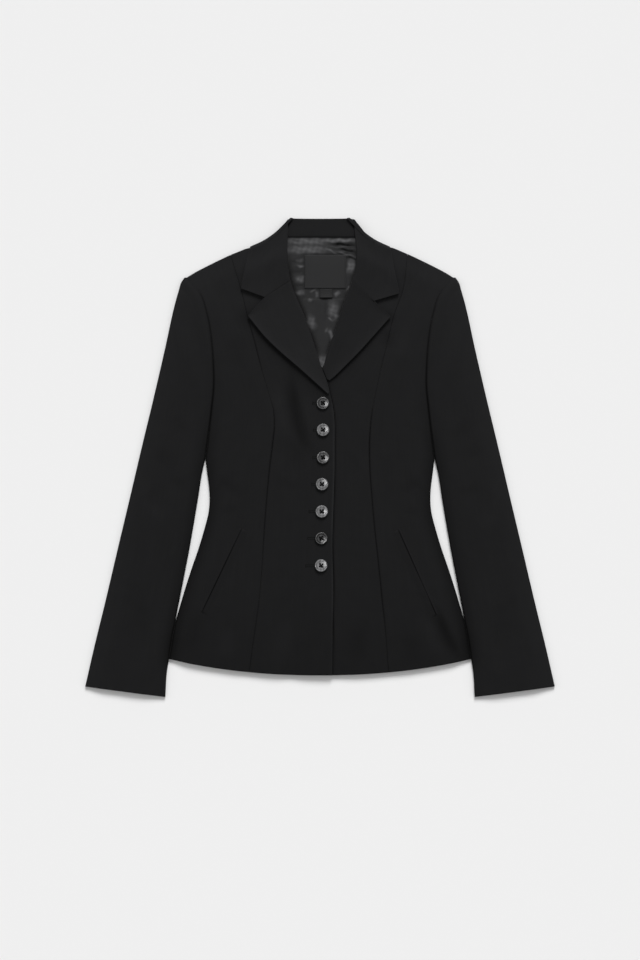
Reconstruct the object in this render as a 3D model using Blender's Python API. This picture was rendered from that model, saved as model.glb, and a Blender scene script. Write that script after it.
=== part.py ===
# Fitted single-breasted blazer, laid flat on its back with its front up.
# Sizes are in millimetres and become metres when a mesh is made.
# +X is the wearer's left, +Y runs from hem to collar and +Z rises from the surface it lies on.

import math

import bmesh
import bpy
import numpy as np

MM = 0.001

# Cloth walls
CLOTH = 2.2       # body and sleeve cloth with its lining
TURNED = 2.4      # lapel and collar, two layers of cloth
LINING = 1.2      # lining where it shows in the neck
LABEL = 1.0       # woven label and tab
WELT = 1.6        # pocket welt
SEAM = 0.3        # gap between neighbouring pieces
LAY = 0.5         # gap under a piece that lies on another

# How far the upper layers stand off the lower ones
BODY_LOFT = 2.6
BUST_LOFT = 0.6
SLEEVE_LOFT = 2.8
CENTRE_LOFT = 1.3          # at the closing, where the fronts lap
LAP_RISE = CLOTH + LAY     # right front over left front
COLLAR_LIFT = CLOTH + SEAM # back over the collar's hidden half
EDGE_ROLL = 32.0           # width of the soft slope along a folded edge
SHOULDER_KEEP = 0.25       # share of the loft that is left at the shoulder line
JOIN_RUN = 100.0           # height above the underarm over which sleeve and body part
RIM_DROP = 1.3             # rounding of a wall's top at an outside edge
GROOVE = 0.6               # dip of a wall's top at a seam
RIM_SHARE = 0.03           # share of a panel's width that a rim or groove takes
BUST = {"x": 88.0, "y": 60.0, "half_x": 45.0, "half_y": 75.0}
CLOSING_LOW = {"half": 62.0, "fade": 40.0}           # width of the flatter strip at the closing
LAP = {"start_x": -46.0, "run": 28.0, "top_y": 175.0, "fade": 45.0}
LIFT = {"start_y": 225.0, "run": 62.0, "half": 165.0, "fade": 60.0}

# Main lengths
HEM_CENTRE_Y = -313.8
HEM_SIDE_Y = -290.5
HEM_HALF = 215.0
HEM_POWER = 2.2
UNDERARM_Y = -3.0
SHOULDER_TIP_Y = 255.5
V_POINT_Y = 125.0
NECK_SEAM_Y = 312.5
COLLAR_TOP_Y = 340.0
CUFF_INNER_Y = -345.0
CUFF_OUTER_Y = -330.0
NECK_HALF = 62.0
NECK_CURVE = {"start_y": 285.0, "spread": 11.0}      # how the fronts' neckline opens to the shoulder
EDGE_GAP = 0.2             # body and sleeve each keep this far from the armhole line
FRAME_Y = -0.5 * (COLLAR_TOP_Y + CUFF_INNER_Y)   # puts the origin at the middle of the outline

RIGHT = -1   # wearer's right
LEFT = 1     # wearer's left
SIDES = ((RIGHT, "right"), (LEFT, "left"))

# Buttons
BUTTON_COUNT = 7
BUTTON_RADIUS = 8.9
BUTTON_FIRST = (3.9, 75.9)
BUTTON_LAST = (1.4, -156.2)
BUTTON_HOLE_RADIUS = 1.0
BUTTON_HOLE_OFFSET = 1.9
BUTTON_SIDES = 20
HOLE_SIDES = 8

HOLE_DEPTH = 12.0
SHARP_ANGLE = 40.0

# Neck label and size tab, as low and high corners
LABEL_BOX = ((-22.0, 240.0), (37.0, 287.0))
TAB_BOX = ((0.0, 226.5), (18.0, 239.0))

# Pocket welts
WELT_WIDTH = 9.0


class Table:
    """Rows of sizes with named columns, read as smooth curves along the first column."""

    def __init__(self, columns, rows):
        ordered = sorted(rows)
        self.columns = {name: np.array([row[i] for row in ordered], float) for i, name in enumerate(columns)}
        self.stations = self.columns[columns[0]]

    def at(self, name, station):
        values = self.columns[name]
        slopes = np.gradient(values, self.stations)
        place = np.clip(station, self.stations[0], self.stations[-1])
        i = np.clip(np.searchsorted(self.stations, place) - 1, 0, len(values) - 2)
        step = self.stations[i + 1] - self.stations[i]
        t = (place - self.stations[i]) / step
        rise = values[i + 1] - values[i]
        start = slopes[i] * step - rise
        end = rise - slopes[i + 1] * step
        return values[i] + t * rise + t * (1.0 - t) * ((1.0 - t) * start + t * end)


# Distance of each edge from the centre line
ARMHOLE = Table(("y", "x"), (
    (255.5, 190.6), (238.0, 175.0), (204.0, 162.0), (168.0, 155.5), (129.0, 152.5),
    (102.0, 152.0), (67.0, 155.3), (28.0, 160.0), (-3.0, 164.0)))
SIDE = Table(("y", "x"), (
    (-3.0, 164.0), (-20.0, 162.0), (-49.0, 158.5), (-63.0, 158.0), (-77.0, 159.0), (-106.0, 166.0),
    (-134.0, 174.5), (-163.0, 184.5), (-192.0, 193.8), (-220.0, 202.1), (-236.0, 206.7), (-250.0, 209.7),
    (-290.5, 216.3)))
SLEEVE_FORE = Table(("y", "x"), (
    (-3.0, 164.0), (-20.0, 168.0), (-63.0, 175.0), (-134.4, 187.3), (-206.0, 201.3), (-221.0, 204.3),
    (-236.0, 207.1), (-250.0, 209.7), (-290.5, 216.3), (-306.0, 218.9), (-345.0, 221.5)))
SLEEVE_HIND = Table(("y", "x"), (
    (255.5, 193.8), (249.0, 198.4), (237.0, 202.3), (223.0, 206.3), (151.6, 222.4), (80.0, 239.0),
    (8.6, 256.2), (-63.0, 273.0), (-134.4, 290.0), (-206.0, 306.8), (-277.4, 324.2), (-330.0, 336.2)))
PRINCESS = Table(("y", "right", "left"), (
    (288.0, 128.0, 125.0), (240.0, 113.5, 119.0), (195.0, 102.5, 104.0), (166.0, 94.4, 97.2),
    (122.0, 83.0, 86.5), (94.0, 74.4, 80.5), (63.0, 66.4, 74.5), (44.0, 65.2, 72.3), (19.0, 67.6, 70.8),
    (-16.0, 72.0, 71.2), (-56.0, 75.8, 74.0), (-92.0, 78.7, 77.0), (-134.0, 81.5, 81.4), (-177.0, 84.4, 86.0),
    (-213.0, 88.0, 89.6), (-249.0, 93.0, 93.6), (-285.0, 98.2, 96.4), (-310.0, 101.5, 98.0)))

# The shoulder line, tucked in where the collar folds over it
SHOULDER = Table(("x", "y"), (
    (62.0, 311.5), (80.0, 302.5), (96.0, 295.4), (104.0, 296.6), (118.0, 291.8), (140.0, 282.6),
    (165.0, 271.2), (181.0, 263.2), (193.8, 255.5)))

# Roll lines of the two lapels and collar, across the whole width
ROLL = Table(("y", "right", "left"), (
    (323.0, -45.9, 49.3), (290.0, -46.3, 51.9), (262.0, -44.4, 49.0), (240.0, -38.8, 42.2),
    (220.0, -30.6, 34.2), (200.0, -22.0, 28.0), (180.0, -15.0, 22.0), (160.0, -8.4, 14.0),
    (142.0, -2.8, 8.6), (125.0, 2.7, 3.5)))

# Closing edges below the V point: the right front laps over, the left front lies under it
CLOSING = Table(("y", "right", "left"), (
    (125.0, 2.7, 3.5), (105.8, 10.2, -9.0), (86.0, 14.8, -14.0), (70.0, 18.5, -14.5), (51.5, 20.6, -15.0),
    (20.0, 20.8, -15.0), (-28.6, 20.6, -15.0), (-76.0, 19.1, -15.5), (-120.0, 17.8, -16.0),
    (-190.0, 18.8, -16.0), (-250.0, 18.0, -16.0), (-313.8, 17.4, -16.0)))

# Lapel rows: height on the roll line, then the point on the lapel's outer edge
LAPEL_COLUMNS = ("row", "roll_y", "outer_x", "outer_y")
LAPEL_EDGE = {
    "right": Table(LAPEL_COLUMNS, (
        (0.0, 228.0, -103.2, 200.2), (1.0, 204.0, -79.6, 171.0), (2.0, 180.0, -56.6, 148.6),
        (3.0, 154.0, -30.7, 126.2), (4.0, 120.0, 0.2, 98.4), (5.0, 92.0, 11.6, 88.0))),
    "left": Table(LAPEL_COLUMNS, (
        (0.0, 226.0, 101.1, 198.9), (1.0, 202.0, 77.6, 172.5), (2.0, 178.0, 57.0, 149.6),
        (3.0, 154.0, 38.0, 130.4), (4.0, 126.0, 22.4, 115.0), (5.0, 109.0, 13.9, 108.0))),
}
LAPEL_END_ROW = 5.0
LAPEL_STEPS = 12
GORGE_STEPS = 3
GORGE_ROLL_Y = 251.0
GORGE_GAP = 0.5            # lapel and collar tilt apart here, so it is wider than a seam
NOTCH = {"right": (-79.2, 226.4), "left": (77.2, 221.0)}
LAPEL_STAND_OFF = {"right": 4.0, "left": 3.2}
STAND_OFF_WIDTH = 45.0     # a narrower row stands off less
STAND_OFF_POWER = 0.7

# Collar fall: point, outer edge on the front, silhouette over the shoulder and hidden edge at the back
COLLAR_TIP = {"right": (-113.0, 238.8), "left": (113.0, 231.5)}
COLLAR_EDGE = Table(("y", "right", "left"), (
    (231.5, -114.0, 113.0), (238.8, -113.0, 112.2), (252.0, -110.6, 109.4),
    (268.0, -107.6, 106.0), (282.0, -104.8, 103.4), (295.5, -101.6, 101.6)))
COLLAR_SHOULDER = Table(("share", "x", "y", "fold_angle"), (
    (0.0, 43.6, 339.4, 8.0), (0.11, 50.0, 333.8, 36.0), (0.34, 61.5, 322.4, 50.0),
    (0.62, 77.0, 310.8, 64.0), (1.0, 99.6, 299.5, 108.0)))
COLLAR_TIP_STEPS = 2
COLLAR_FRONT_STEPS = 6
COLLAR_TURN_STEPS = 5
COLLAR_BACK_STEPS = 8
COLLAR_BACK_DEPTH = 48.0
COLLAR_STAND_OFF = 2.4
COLLAR_LIP = {"top_y": 312.0, "run": 40.0}
COLLAR_BLEND_Y = 285.0     # where the fall starts to come down to its shoulder fold
COLUMN_GRADE = 1.15        # closer columns near the roll line
COLLAR_FOLD_Z = Table(("share", "z"), ((0.0, 6.8), (0.25, 7.9), (0.5, 8.9), (1.0, 9.0)))

# The rolled lip of a turned edge: place from the roll line when flat, when turned, and its drop
LIP = Table(("step", "flat", "turned", "drop"), (
    (0.0, 0.2, 1.2, 3.2), (1.0, 1.1, 1.2, 2.4), (2.0, 2.1, 1.9, 0.7), (3.0, 3.6, 3.6, 0.0)))
LIP_STEPS = 3
TURNED_STEPS = 6
LIP_INSET = 4.6     # how far a front's edge lies behind the roll line
LIP_FADE = 20.0     # height above the V point over which the lip turns in
LIP_ROOM = 12.0     # width of lapel that a full lip needs

# Collar stand
STAND_HALF = 40.0
STAND_FLARE = {"right": 11.5, "left": 16.5}
STAND_RISE = 1.0
STAND_STEPS = 4

# Soft folds in the fronts: ends, half width and depth
FOLD_COLUMNS = ("x0", "y0", "x1", "y1", "half_width", "depth")
FOLDS = (
    (-41.0, 117.0, -29.0, 21.0, 9.0, 0.9),
    (169.0, -228.0, 198.0, -292.0, 10.0, 0.9),
    (101.0, 176.0, 99.0, 148.0, 9.0, 0.5),
)

# Pocket lines from their upper to their lower end
WELT_LINES = {"right": ((-111.3, -104.0), (-168.6, -224.0)), "left": ((111.4, -105.5), (166.0, -228.0))}

# Button section from the middle of its back, round the rim, to the middle of its dish
BUTTON_SECTION = Table(("step", "radius", "z"), (
    (0.0, 6.4, 0.0), (1.0, 8.2, 0.4), (2.0, 8.9, 1.5), (3.0, 8.4, 2.8), (4.0, 7.3, 3.2), (5.0, 6.0, 2.3)))

# Finishes: colour, roughness and metallic value
FINISHES = {
    "suiting": ((0.013, 0.013, 0.014), 0.86, 0.0),
    "satin": ((0.030, 0.030, 0.032), 0.36, 0.0),
    "woven_label": ((0.026, 0.026, 0.027), 0.62, 0.0),
    "horn": ((0.080, 0.080, 0.084), 0.24, 0.0),
}

BODY_ROWS = 22
ARMHOLE_ROWS = 11
SLEEVE_ROWS = 12
PANEL_SHARES = (0.0, RIM_SHARE, 0.2, 0.4, 0.6, 0.8, 1.0 - RIM_SHARE, 1.0)
BACK_SHARES = (0.0, 0.25, 0.5, 0.75, 1.0)
LINING_ROWS = 10
LINING_SHARES = (0.0, 0.2, 0.4, 0.6, 0.8, 1.0)
LINING_NECK_Y = 300.0      # above this the lining keeps its width
TRIM_STEPS = 4
WELT_STEPS = 8
WELT_SHARES = (0.0, 0.12, 0.5, 0.88, 1.0)
ARMHOLE_GRADE = 1.5
HIND_GRADE = 1.12
FOLD_TAPER = 0.35


def clear_scene():
    for item in list(bpy.data.objects):
        bpy.data.objects.remove(item, do_unlink=True)


def ease(t):
    t = np.clip(t, 0.0, 1.0)
    return t * t * (3.0 - 2.0 * t)


def graded(start, end, count, power=1.0):
    return start + (end - start) * np.linspace(0.0, 1.0, count + 1) ** power


def points(x, y):
    return np.stack(np.broadcast_arrays(np.asarray(x, float), np.asarray(y, float)), axis=-1)


# Outline of the garment

def hem_y(x):
    return HEM_CENTRE_Y + (HEM_SIDE_Y - HEM_CENTRE_Y) * (np.abs(x) / HEM_HALF) ** HEM_POWER


def body_edge(y):
    return np.where(y >= UNDERARM_Y, ARMHOLE.at("x", y), SIDE.at("x", y))


def sleeve_fore_edge(y):
    return np.where(y >= UNDERARM_Y, ARMHOLE.at("x", y), SLEEVE_FORE.at("x", y))


def front_edge(side_name, y):
    sign = RIGHT if side_name == "right" else LEFT
    inset = LIP_INSET * ease((y - V_POINT_Y) / LIP_FADE)
    neck = NECK_CURVE["spread"] * ease((y - NECK_CURVE["start_y"]) / (NECK_SEAM_Y - NECK_CURVE["start_y"]))
    return np.where(y >= V_POINT_Y, ROLL.at(side_name, y) + sign * (inset + neck), CLOSING.at(side_name, y))


# Heights of the layers

def back_bottom(x, y):
    along = ease((y - LIFT["start_y"]) / LIFT["run"])
    return COLLAR_LIFT * along * ease((LIFT["half"] - np.abs(x)) / LIFT["fade"])


def back_top(x, y):
    return back_bottom(x, y) + CLOTH


def fold_depth(x, y):
    depth = np.zeros_like(x)
    for row in FOLDS:
        fold = dict(zip(FOLD_COLUMNS, row))
        along = np.array((fold["x1"] - fold["x0"], fold["y1"] - fold["y0"]))
        length = np.hypot(*along)
        dx = x - fold["x0"]
        dy = y - fold["y0"]
        share = (dx * along[0] + dy * along[1]) / length ** 2
        away = (dx * along[1] - dy * along[0]) / length
        taper = ease(share / FOLD_TAPER) * ease((1.0 - share) / FOLD_TAPER)
        depth += fold["depth"] * taper * np.exp(-(away / fold["half_width"]) ** 2)
    return depth


def lap_share(y):
    return ease((LAP["top_y"] - y) / LAP["fade"])


def body_loft(x, y):
    side = np.abs(x)
    joined = ease(y / JOIN_RUN)
    across = joined + (1.0 - joined) * ease((body_edge(y) - side) / EDGE_ROLL)
    below = ease((SHOULDER.at("y", side) - y) / EDGE_ROLL)
    shoulder = SHOULDER_KEEP + (1.0 - SHOULDER_KEEP) * below
    closing = ease((CLOSING_LOW["half"] - side) / CLOSING_LOW["fade"]) * lap_share(y)
    height = BODY_LOFT - (BODY_LOFT - CENTRE_LOFT) * closing
    bust_x = (side - BUST["x"]) / BUST["half_x"]
    bust_y = (y - BUST["y"]) / BUST["half_y"]
    bust = BUST_LOFT * np.exp(-bust_x ** 2 - bust_y ** 2)
    return across * shoulder * (height + bust) - across * fold_depth(x, y)


def front_bottom(side_name, x, y):
    height = back_top(x, y) + SEAM + body_loft(x, y)
    if side_name == "right":
        height = height + LAP_RISE * ease((x - LAP["start_x"]) / LAP["run"]) * lap_share(y)
    return height


def front_top(side_name, x, y):
    return front_bottom(side_name, x, y) + CLOTH


def sleeve_bottom(x, y):
    side = np.abs(x)
    joined = ease(y / JOIN_RUN)
    fore = joined + (1.0 - joined) * ease((side - sleeve_fore_edge(y)) / EDGE_ROLL)
    hind = ease((SLEEVE_HIND.at("x", y) - side) / EDGE_ROLL)
    return CLOTH + SEAM + SLEEVE_LOFT * fore * hind


# Meshes

def make_object(name, vertices, faces, finish):
    colour, roughness, metallic = FINISHES[finish]
    mesh = bpy.data.meshes.new(name)
    shift = np.array((0.0, FRAME_Y, 0.0))
    mesh.from_pydata([tuple((np.asarray(v) + shift) * MM) for v in vertices], [], faces)
    bm = bmesh.new()
    bm.from_mesh(mesh)
    bmesh.ops.recalc_face_normals(bm, faces=bm.faces)
    bm.to_mesh(mesh)
    bm.free()
    mesh.shade_smooth()
    mesh.set_sharp_from_angle(angle=math.radians(SHARP_ANGLE))
    material = bpy.data.materials.new(name)
    material.use_nodes = True
    shader = material.node_tree.nodes["Principled BSDF"]
    shader.inputs["Base Color"].default_value = (*colour, 1.0)
    shader.inputs["Roughness"].default_value = roughness
    shader.inputs["Metallic"].default_value = metallic
    mesh.materials.append(material)
    item = bpy.data.objects.new(name, mesh)
    bpy.context.collection.objects.link(item)
    item.parent = bpy.data.objects["blazer"]
    return item


def make_wall(name, top, bottom, finish):
    """Closes two matching grids of points into one solid."""
    rows, columns = top.shape[:2]
    vertices = np.concatenate((top.reshape(-1, 3), bottom.reshape(-1, 3)))
    under = rows * columns
    index = np.arange(under).reshape(rows, columns)
    faces = []
    for i in range(rows - 1):
        for j in range(columns - 1):
            quad = (index[i, j], index[i, j + 1], index[i + 1, j + 1], index[i + 1, j])
            faces.append(quad)
            faces.append(tuple(corner + under for corner in reversed(quad)))
    rim = list(index[0, :-1]) + list(index[:-1, -1]) + list(index[-1, :0:-1]) + list(index[:0:-1, 0])
    for a, b in zip(rim, rim[1:] + rim[:1]):
        faces.append((b, a, a + under, b + under))
    return make_object(name, vertices, [tuple(int(k) for k in face) for face in faces], finish)


def patch(inner, outer, top, bottom, shares):
    """Grid of plan points between two side edges, with the end edges blended in."""
    shares = np.asarray(shares)[:, None]
    rows = len(inner)
    top_bow = top - (top[0] + shares * (top[-1] - top[0]))
    bottom_bow = bottom - (bottom[0] + shares * (bottom[-1] - bottom[0]))
    grid = []
    for i in range(rows):
        v = i / (rows - 1)
        line = inner[i] + shares * (outer[i] - inner[i])
        grid.append(line + (1.0 - v) ** 3 * top_bow + v ** 3 * bottom_bow)
    return np.array(grid)


def strip(inner, outer, shares):
    """Grid of plan points between two side edges, with straight ends."""
    top = straight(inner[0], outer[0], shares)
    bottom = straight(inner[-1], outer[-1], shares)
    return patch(inner, outer, top, bottom, shares)


def straight(start, end, shares):
    start = np.asarray(start, float)
    return start + np.asarray(shares)[:, None] * (np.asarray(end, float) - start)


def lay_panel(name, plan, low, wall, finish, rims):
    """Wall of one thickness over a plan, with its top rounded down along the named rims."""
    high = low + wall
    places = {"inner": (slice(None), 0), "outer": (slice(None), -1), "top": (0, slice(None))}
    for rim, drop in rims.items():
        high[places[rim]] = np.minimum(high[places[rim]], (low + wall - drop)[places[rim]])
    top = np.concatenate((plan, high[..., None]), axis=-1)
    bottom = np.concatenate((plan, low[..., None]), axis=-1)
    return make_wall(name, top, bottom, finish)


def offset_wall(name, middle, wall, finish):
    """Wall of even thickness about a curved middle surface, kept off the surface it lies on."""
    along = np.gradient(middle, axis=0)
    across = np.gradient(middle, axis=1)
    for end in (0, -1):
        dx, dy = (middle[end, -1] - middle[end, 0])[:2]
        square = np.array((-dy, dx, 0.0))
        along[end] = square * np.sign(along[end] @ square)[:, None]
    normal = np.cross(across, along)
    normal /= np.linalg.norm(normal, axis=-1, keepdims=True)
    outside = middle + 0.5 * wall * normal
    inside = middle - 0.5 * wall * normal
    outside[..., 2] = np.maximum(outside[..., 2], 0.0)
    inside[..., 2] = np.maximum(inside[..., 2], 0.0)
    return make_wall(name, outside, inside, finish)


# Body panels

def armhole_stations():
    return graded(SHOULDER_TIP_Y, UNDERARM_Y, ARMHOLE_ROWS, ARMHOLE_GRADE)


def body_stations():
    return np.concatenate((armhole_stations(), graded(UNDERARM_Y, HEM_SIDE_Y, BODY_ROWS - ARMHOLE_ROWS)[1:]))


def princess_line(side, side_name):
    ends = PRINCESS.columns[side_name]
    top = SHOULDER.at("y", ends[-1])
    bottom = hem_y(ends[0])
    y = graded(top, bottom, BODY_ROWS)
    return points(side * PRINCESS.at(side_name, y), y)


def shoulder_line(start_x, end_x, shares):
    x = start_x + np.asarray(shares) * (end_x - start_x)
    return points(x, SHOULDER.at("y", np.abs(x)))


def hem_line(start_x, end_x, shares):
    x = start_x + np.asarray(shares) * (end_x - start_x)
    return points(x, hem_y(x))


def body_outer(side):
    y = body_stations()
    return points(side * (body_edge(y) - EDGE_GAP), y)


def build_side_front(side, side_name):
    inner = princess_line(side, side_name) + (side * 0.5 * SEAM, 0.0)
    outer = body_outer(side)
    top = shoulder_line(inner[0, 0], outer[0, 0], PANEL_SHARES)
    bottom = hem_line(inner[-1, 0], outer[-1, 0], PANEL_SHARES)
    plan = patch(inner, outer, top, bottom, PANEL_SHARES)
    low = front_bottom(side_name, plan[..., 0], plan[..., 1])
    rims = {"inner": GROOVE, "outer": RIM_DROP, "top": RIM_DROP}
    lay_panel("side_front_" + side_name, plan, low, CLOTH, "suiting", rims)


def build_front(side, side_name):
    outer = princess_line(side, side_name) - (side * 0.5 * SEAM, 0.0)
    neck_y = SHOULDER.at("y", NECK_HALF)
    edge_x = float(front_edge(side_name, HEM_CENTRE_Y))
    inner_y = graded(neck_y, hem_y(edge_x), BODY_ROWS)
    inner = points(front_edge(side_name, inner_y), inner_y)
    inner[0, 0] = side * NECK_HALF
    top = shoulder_line(inner[0, 0], outer[0, 0], PANEL_SHARES)
    bottom = hem_line(inner[-1, 0], outer[-1, 0], PANEL_SHARES)
    plan = patch(inner, outer, top, bottom, PANEL_SHARES)
    low = front_bottom(side_name, plan[..., 0], plan[..., 1])
    rims = {"inner": GROOVE, "outer": GROOVE, "top": RIM_DROP}
    lay_panel("front_" + side_name, plan, low, CLOTH, "suiting", rims)


def build_back(side, side_name):
    outer = body_outer(side)
    inner_y = graded(SHOULDER.at("y", NECK_HALF), hem_y(0.0), BODY_ROWS)
    inner = points(side * 0.5 * SEAM, inner_y)
    top = shoulder_line(inner[0, 0], outer[0, 0], BACK_SHARES)
    bottom = hem_line(inner[-1, 0], outer[-1, 0], BACK_SHARES)
    plan = patch(inner, outer, top, bottom, BACK_SHARES)
    low = back_bottom(plan[..., 0], plan[..., 1])
    lay_panel("back_" + side_name, plan, low, CLOTH, "suiting", {})


# Sleeves

def sleeve_edges(side):
    fore_y = np.concatenate((armhole_stations(), graded(UNDERARM_Y, CUFF_INNER_Y, SLEEVE_ROWS)[1:]))
    fore = points(side * (sleeve_fore_edge(fore_y) + EDGE_GAP), fore_y)
    hind_y = graded(SHOULDER_TIP_Y, CUFF_OUTER_Y, ARMHOLE_ROWS + SLEEVE_ROWS, HIND_GRADE)
    hind = points(side * SLEEVE_HIND.at("x", hind_y), hind_y)
    return fore, hind


def build_sleeve(side, side_name):
    fore, hind = sleeve_edges(side)
    plan = strip(fore, hind, PANEL_SHARES)
    low = sleeve_bottom(plan[..., 0], plan[..., 1])
    rims = {"inner": GROOVE, "outer": RIM_DROP, "top": RIM_DROP}
    lay_panel("top_sleeve_" + side_name, plan, low, CLOTH, "suiting", rims)
    under = strip(fore, hind, BACK_SHARES)
    flat = np.zeros(under.shape[:2])
    lay_panel("under_sleeve_" + side_name, under, flat, CLOTH, "suiting", {})


# Lapels and collar

def turned_row(start, end, lip, height):
    """Middle line of a turned piece, from its rolled lip at start to its edge at end."""
    start = np.asarray(start, float)
    end = np.asarray(end, float)
    width = np.hypot(*(end - start))
    room = min(1.0, width / LIP_ROOM)
    steps = np.arange(LIP_STEPS + 1.0)
    turned = LIP.at("flat", steps) + lip * (LIP.at("turned", steps) - LIP.at("flat", steps))
    drop = lip * LIP.at("drop", steps)
    flat = graded(LIP.at("flat", LIP_STEPS) * room, width, TURNED_STEPS, COLUMN_GRADE)[1:]
    reach = np.concatenate((turned * room, flat))
    plan = start + (reach / width)[:, None] * (end - start)
    level = np.maximum(reach, LIP.at("flat", LIP_STEPS) * room)
    level_plan = start + (level / width)[:, None] * (end - start)
    z = height(level_plan[:, 0], level_plan[:, 1], level / width, width)
    z[:LIP_STEPS + 1] -= drop
    return np.concatenate((plan, z[:, None]), axis=-1)


def turned_height(side_name, stand_off):
    """Height of a turned piece's middle line over one front, rising towards its free edge."""
    def height(x, y, share, width):
        room = min(1.0, width / STAND_OFF_WIDTH) ** STAND_OFF_POWER
        stand = stand_off * room * share ** 1.5
        return front_top(side_name, x, y) + LAY + 0.5 * TURNED + stand
    return height


def lapel_inner(side_name, y):
    if y >= V_POINT_Y:
        return np.array((ROLL.at(side_name, y), y))
    clear = 0.0 if side_name == "right" else LAY
    return np.array((CLOSING.at("right", y) + clear, y))


def gorge_ends(side_name):
    roll = np.array((float(ROLL.at(side_name, GORGE_ROLL_Y)), GORGE_ROLL_Y))
    return roll, np.array(NOTCH[side_name])


def seam_shift(start, end, amount):
    """Step across a seam line, towards +Y for a positive amount."""
    dx, dy = end - start
    across = np.array((-dy, dx)) / np.hypot(dx, dy)
    return across * math.copysign(amount, amount * across[1])


def build_lapel(side, side_name):
    height = turned_height(side_name, LAPEL_STAND_OFF[side_name])
    edge = LAPEL_EDGE[side_name]
    roll, notch = gorge_ends(side_name)
    gap = seam_shift(roll, notch, -0.5 * GORGE_GAP)
    first = np.array((float(edge.at("outer_x", 0.0)), float(edge.at("outer_y", 0.0))))
    rows = []
    for share in graded(0.0, 1.0, GORGE_STEPS)[:-1]:
        roll_y = GORGE_ROLL_Y + gap[1] + share * (float(edge.at("roll_y", 0.0)) - GORGE_ROLL_Y - gap[1])
        outer = notch + gap + share * (first - notch - gap)
        rows.append(turned_row(lapel_inner(side_name, roll_y), outer, 1.0, height))
    for row in graded(0.0, LAPEL_END_ROW, LAPEL_STEPS):
        roll_y = float(edge.at("roll_y", row))
        outer = (float(edge.at("outer_x", row)), float(edge.at("outer_y", row)))
        lip = float(ease((roll_y - V_POINT_Y) / LIP_FADE))
        rows.append(turned_row(lapel_inner(side_name, roll_y), outer, lip, height))
    offset_wall("lapel_" + side_name, np.array(rows)[:, ::side], TURNED, "suiting")


def collar_front_rows(side, side_name, fold):
    """Rows of the collar's fall over one front, from the gorge seam up to the shoulder fold."""
    height = turned_height(side_name, COLLAR_STAND_OFF)
    roll, notch = gorge_ends(side_name)
    gap = seam_shift(roll, notch, 0.5 * GORGE_GAP)
    tip = np.array(COLLAR_TIP[side_name])
    roll_top = fold[0, :2]
    edge_top = fold[-1, :2]
    sag = fold[:, :2] - straight(roll_top, edge_top, fold_shares())
    rows = []
    roll_y = graded(GORGE_ROLL_Y + gap[1], roll_top[1], COLLAR_TIP_STEPS + COLLAR_FRONT_STEPS)
    for i, y in enumerate(roll_y[:-1]):
        if i < COLLAR_TIP_STEPS:
            outer = notch + gap + (i / COLLAR_TIP_STEPS) * (tip - notch - gap)
        else:
            share = (i - COLLAR_TIP_STEPS) / COLLAR_FRONT_STEPS
            edge_y = tip[1] + share * (edge_top[1] - tip[1])
            outer = np.array((float(COLLAR_EDGE.at(side_name, edge_y)), edge_y))
        start = np.array((float(ROLL.at(side_name, y)), y))
        lip = float(ease((COLLAR_LIP["top_y"] - y) / COLLAR_LIP["run"]))
        row = turned_row(start, outer, lip, height)
        blend = ease((y - COLLAR_BLEND_Y) / (roll_top[1] - COLLAR_BLEND_Y))
        row[:, :2] += blend * sag
        row[:, 2] += blend * (fold[:, 2] - row[:, 2])
        rows.append(row)
    return rows


def fold_shares():
    return graded(0.0, 1.0, LIP_STEPS + TURNED_STEPS, COLUMN_GRADE)


def collar_turn_rows(side):
    """Rows of the fall as it folds over the shoulder, from the front layer to the back layer."""
    reach = fold_shares()
    silhouette = points(side * COLLAR_SHOULDER.at("x", reach), COLLAR_SHOULDER.at("y", reach))
    fold_angle = np.radians(COLLAR_SHOULDER.at("fold_angle", reach))
    across = np.stack((side * np.cos(fold_angle), np.sin(fold_angle)), axis=-1)
    front_z = COLLAR_FOLD_Z.at("z", reach)
    back_z = 0.5 * CLOTH
    radius = 0.5 * (front_z - back_z)
    centre = silhouette - across * (radius + 0.5 * CLOTH)[:, None]
    rows = []
    for angle in np.linspace(0.0, math.pi, COLLAR_TURN_STEPS + 1):
        plan = centre + across * (radius * math.sin(angle))[:, None]
        z = back_z + radius + radius * math.cos(angle)
        rows.append(np.concatenate((plan, z[:, None]), axis=-1))
    return rows


def build_collar_fall():
    halves = {}
    for side, side_name in SIDES:
        turn = collar_turn_rows(side)
        halves[side_name] = collar_front_rows(side, side_name, turn[0]) + turn
    right_end = halves["right"][-1]
    left_end = halves["left"][-1]
    back = []
    for share in graded(0.0, 1.0, COLLAR_BACK_STEPS)[1:-1]:
        row = right_end + share * (left_end - right_end)
        middle = COLLAR_TOP_Y - COLLAR_BACK_DEPTH * fold_shares()
        sway = (2.0 * share - 1.0) ** 4
        row[:, 1] = middle + sway * (row[:, 1] - middle)
        back.append(row)
    rows = halves["right"] + back + halves["left"][::-1]
    offset_wall("collar_fall", np.array(rows)[:, ::-1], CLOTH, "suiting")


def build_collar_stand():
    top_y = COLLAR_TOP_Y - LAY
    bottom_y = NECK_SEAM_Y + 0.5 * SEAM
    y = graded(top_y, bottom_y, STAND_STEPS)
    drop = (top_y - y) / (top_y - bottom_y)
    inner = points(-STAND_HALF - STAND_FLARE["right"] * drop, y)
    outer = points(STAND_HALF + STAND_FLARE["left"] * drop, y)
    plan = strip(inner, outer, np.linspace(0.0, 1.0, STAND_STEPS + 1))
    low = CLOTH + SEAM + STAND_RISE * ease((top_y - plan[..., 1]) / (top_y - bottom_y))
    lay_panel("collar_stand", plan, low, CLOTH, "suiting", {"top": GROOVE})


# Lining, label and tab in the neck

def lining_bottom(x, y):
    return back_top(x, y) + LAY


def lining_top(x, y):
    return lining_bottom(x, y) + LINING


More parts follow.
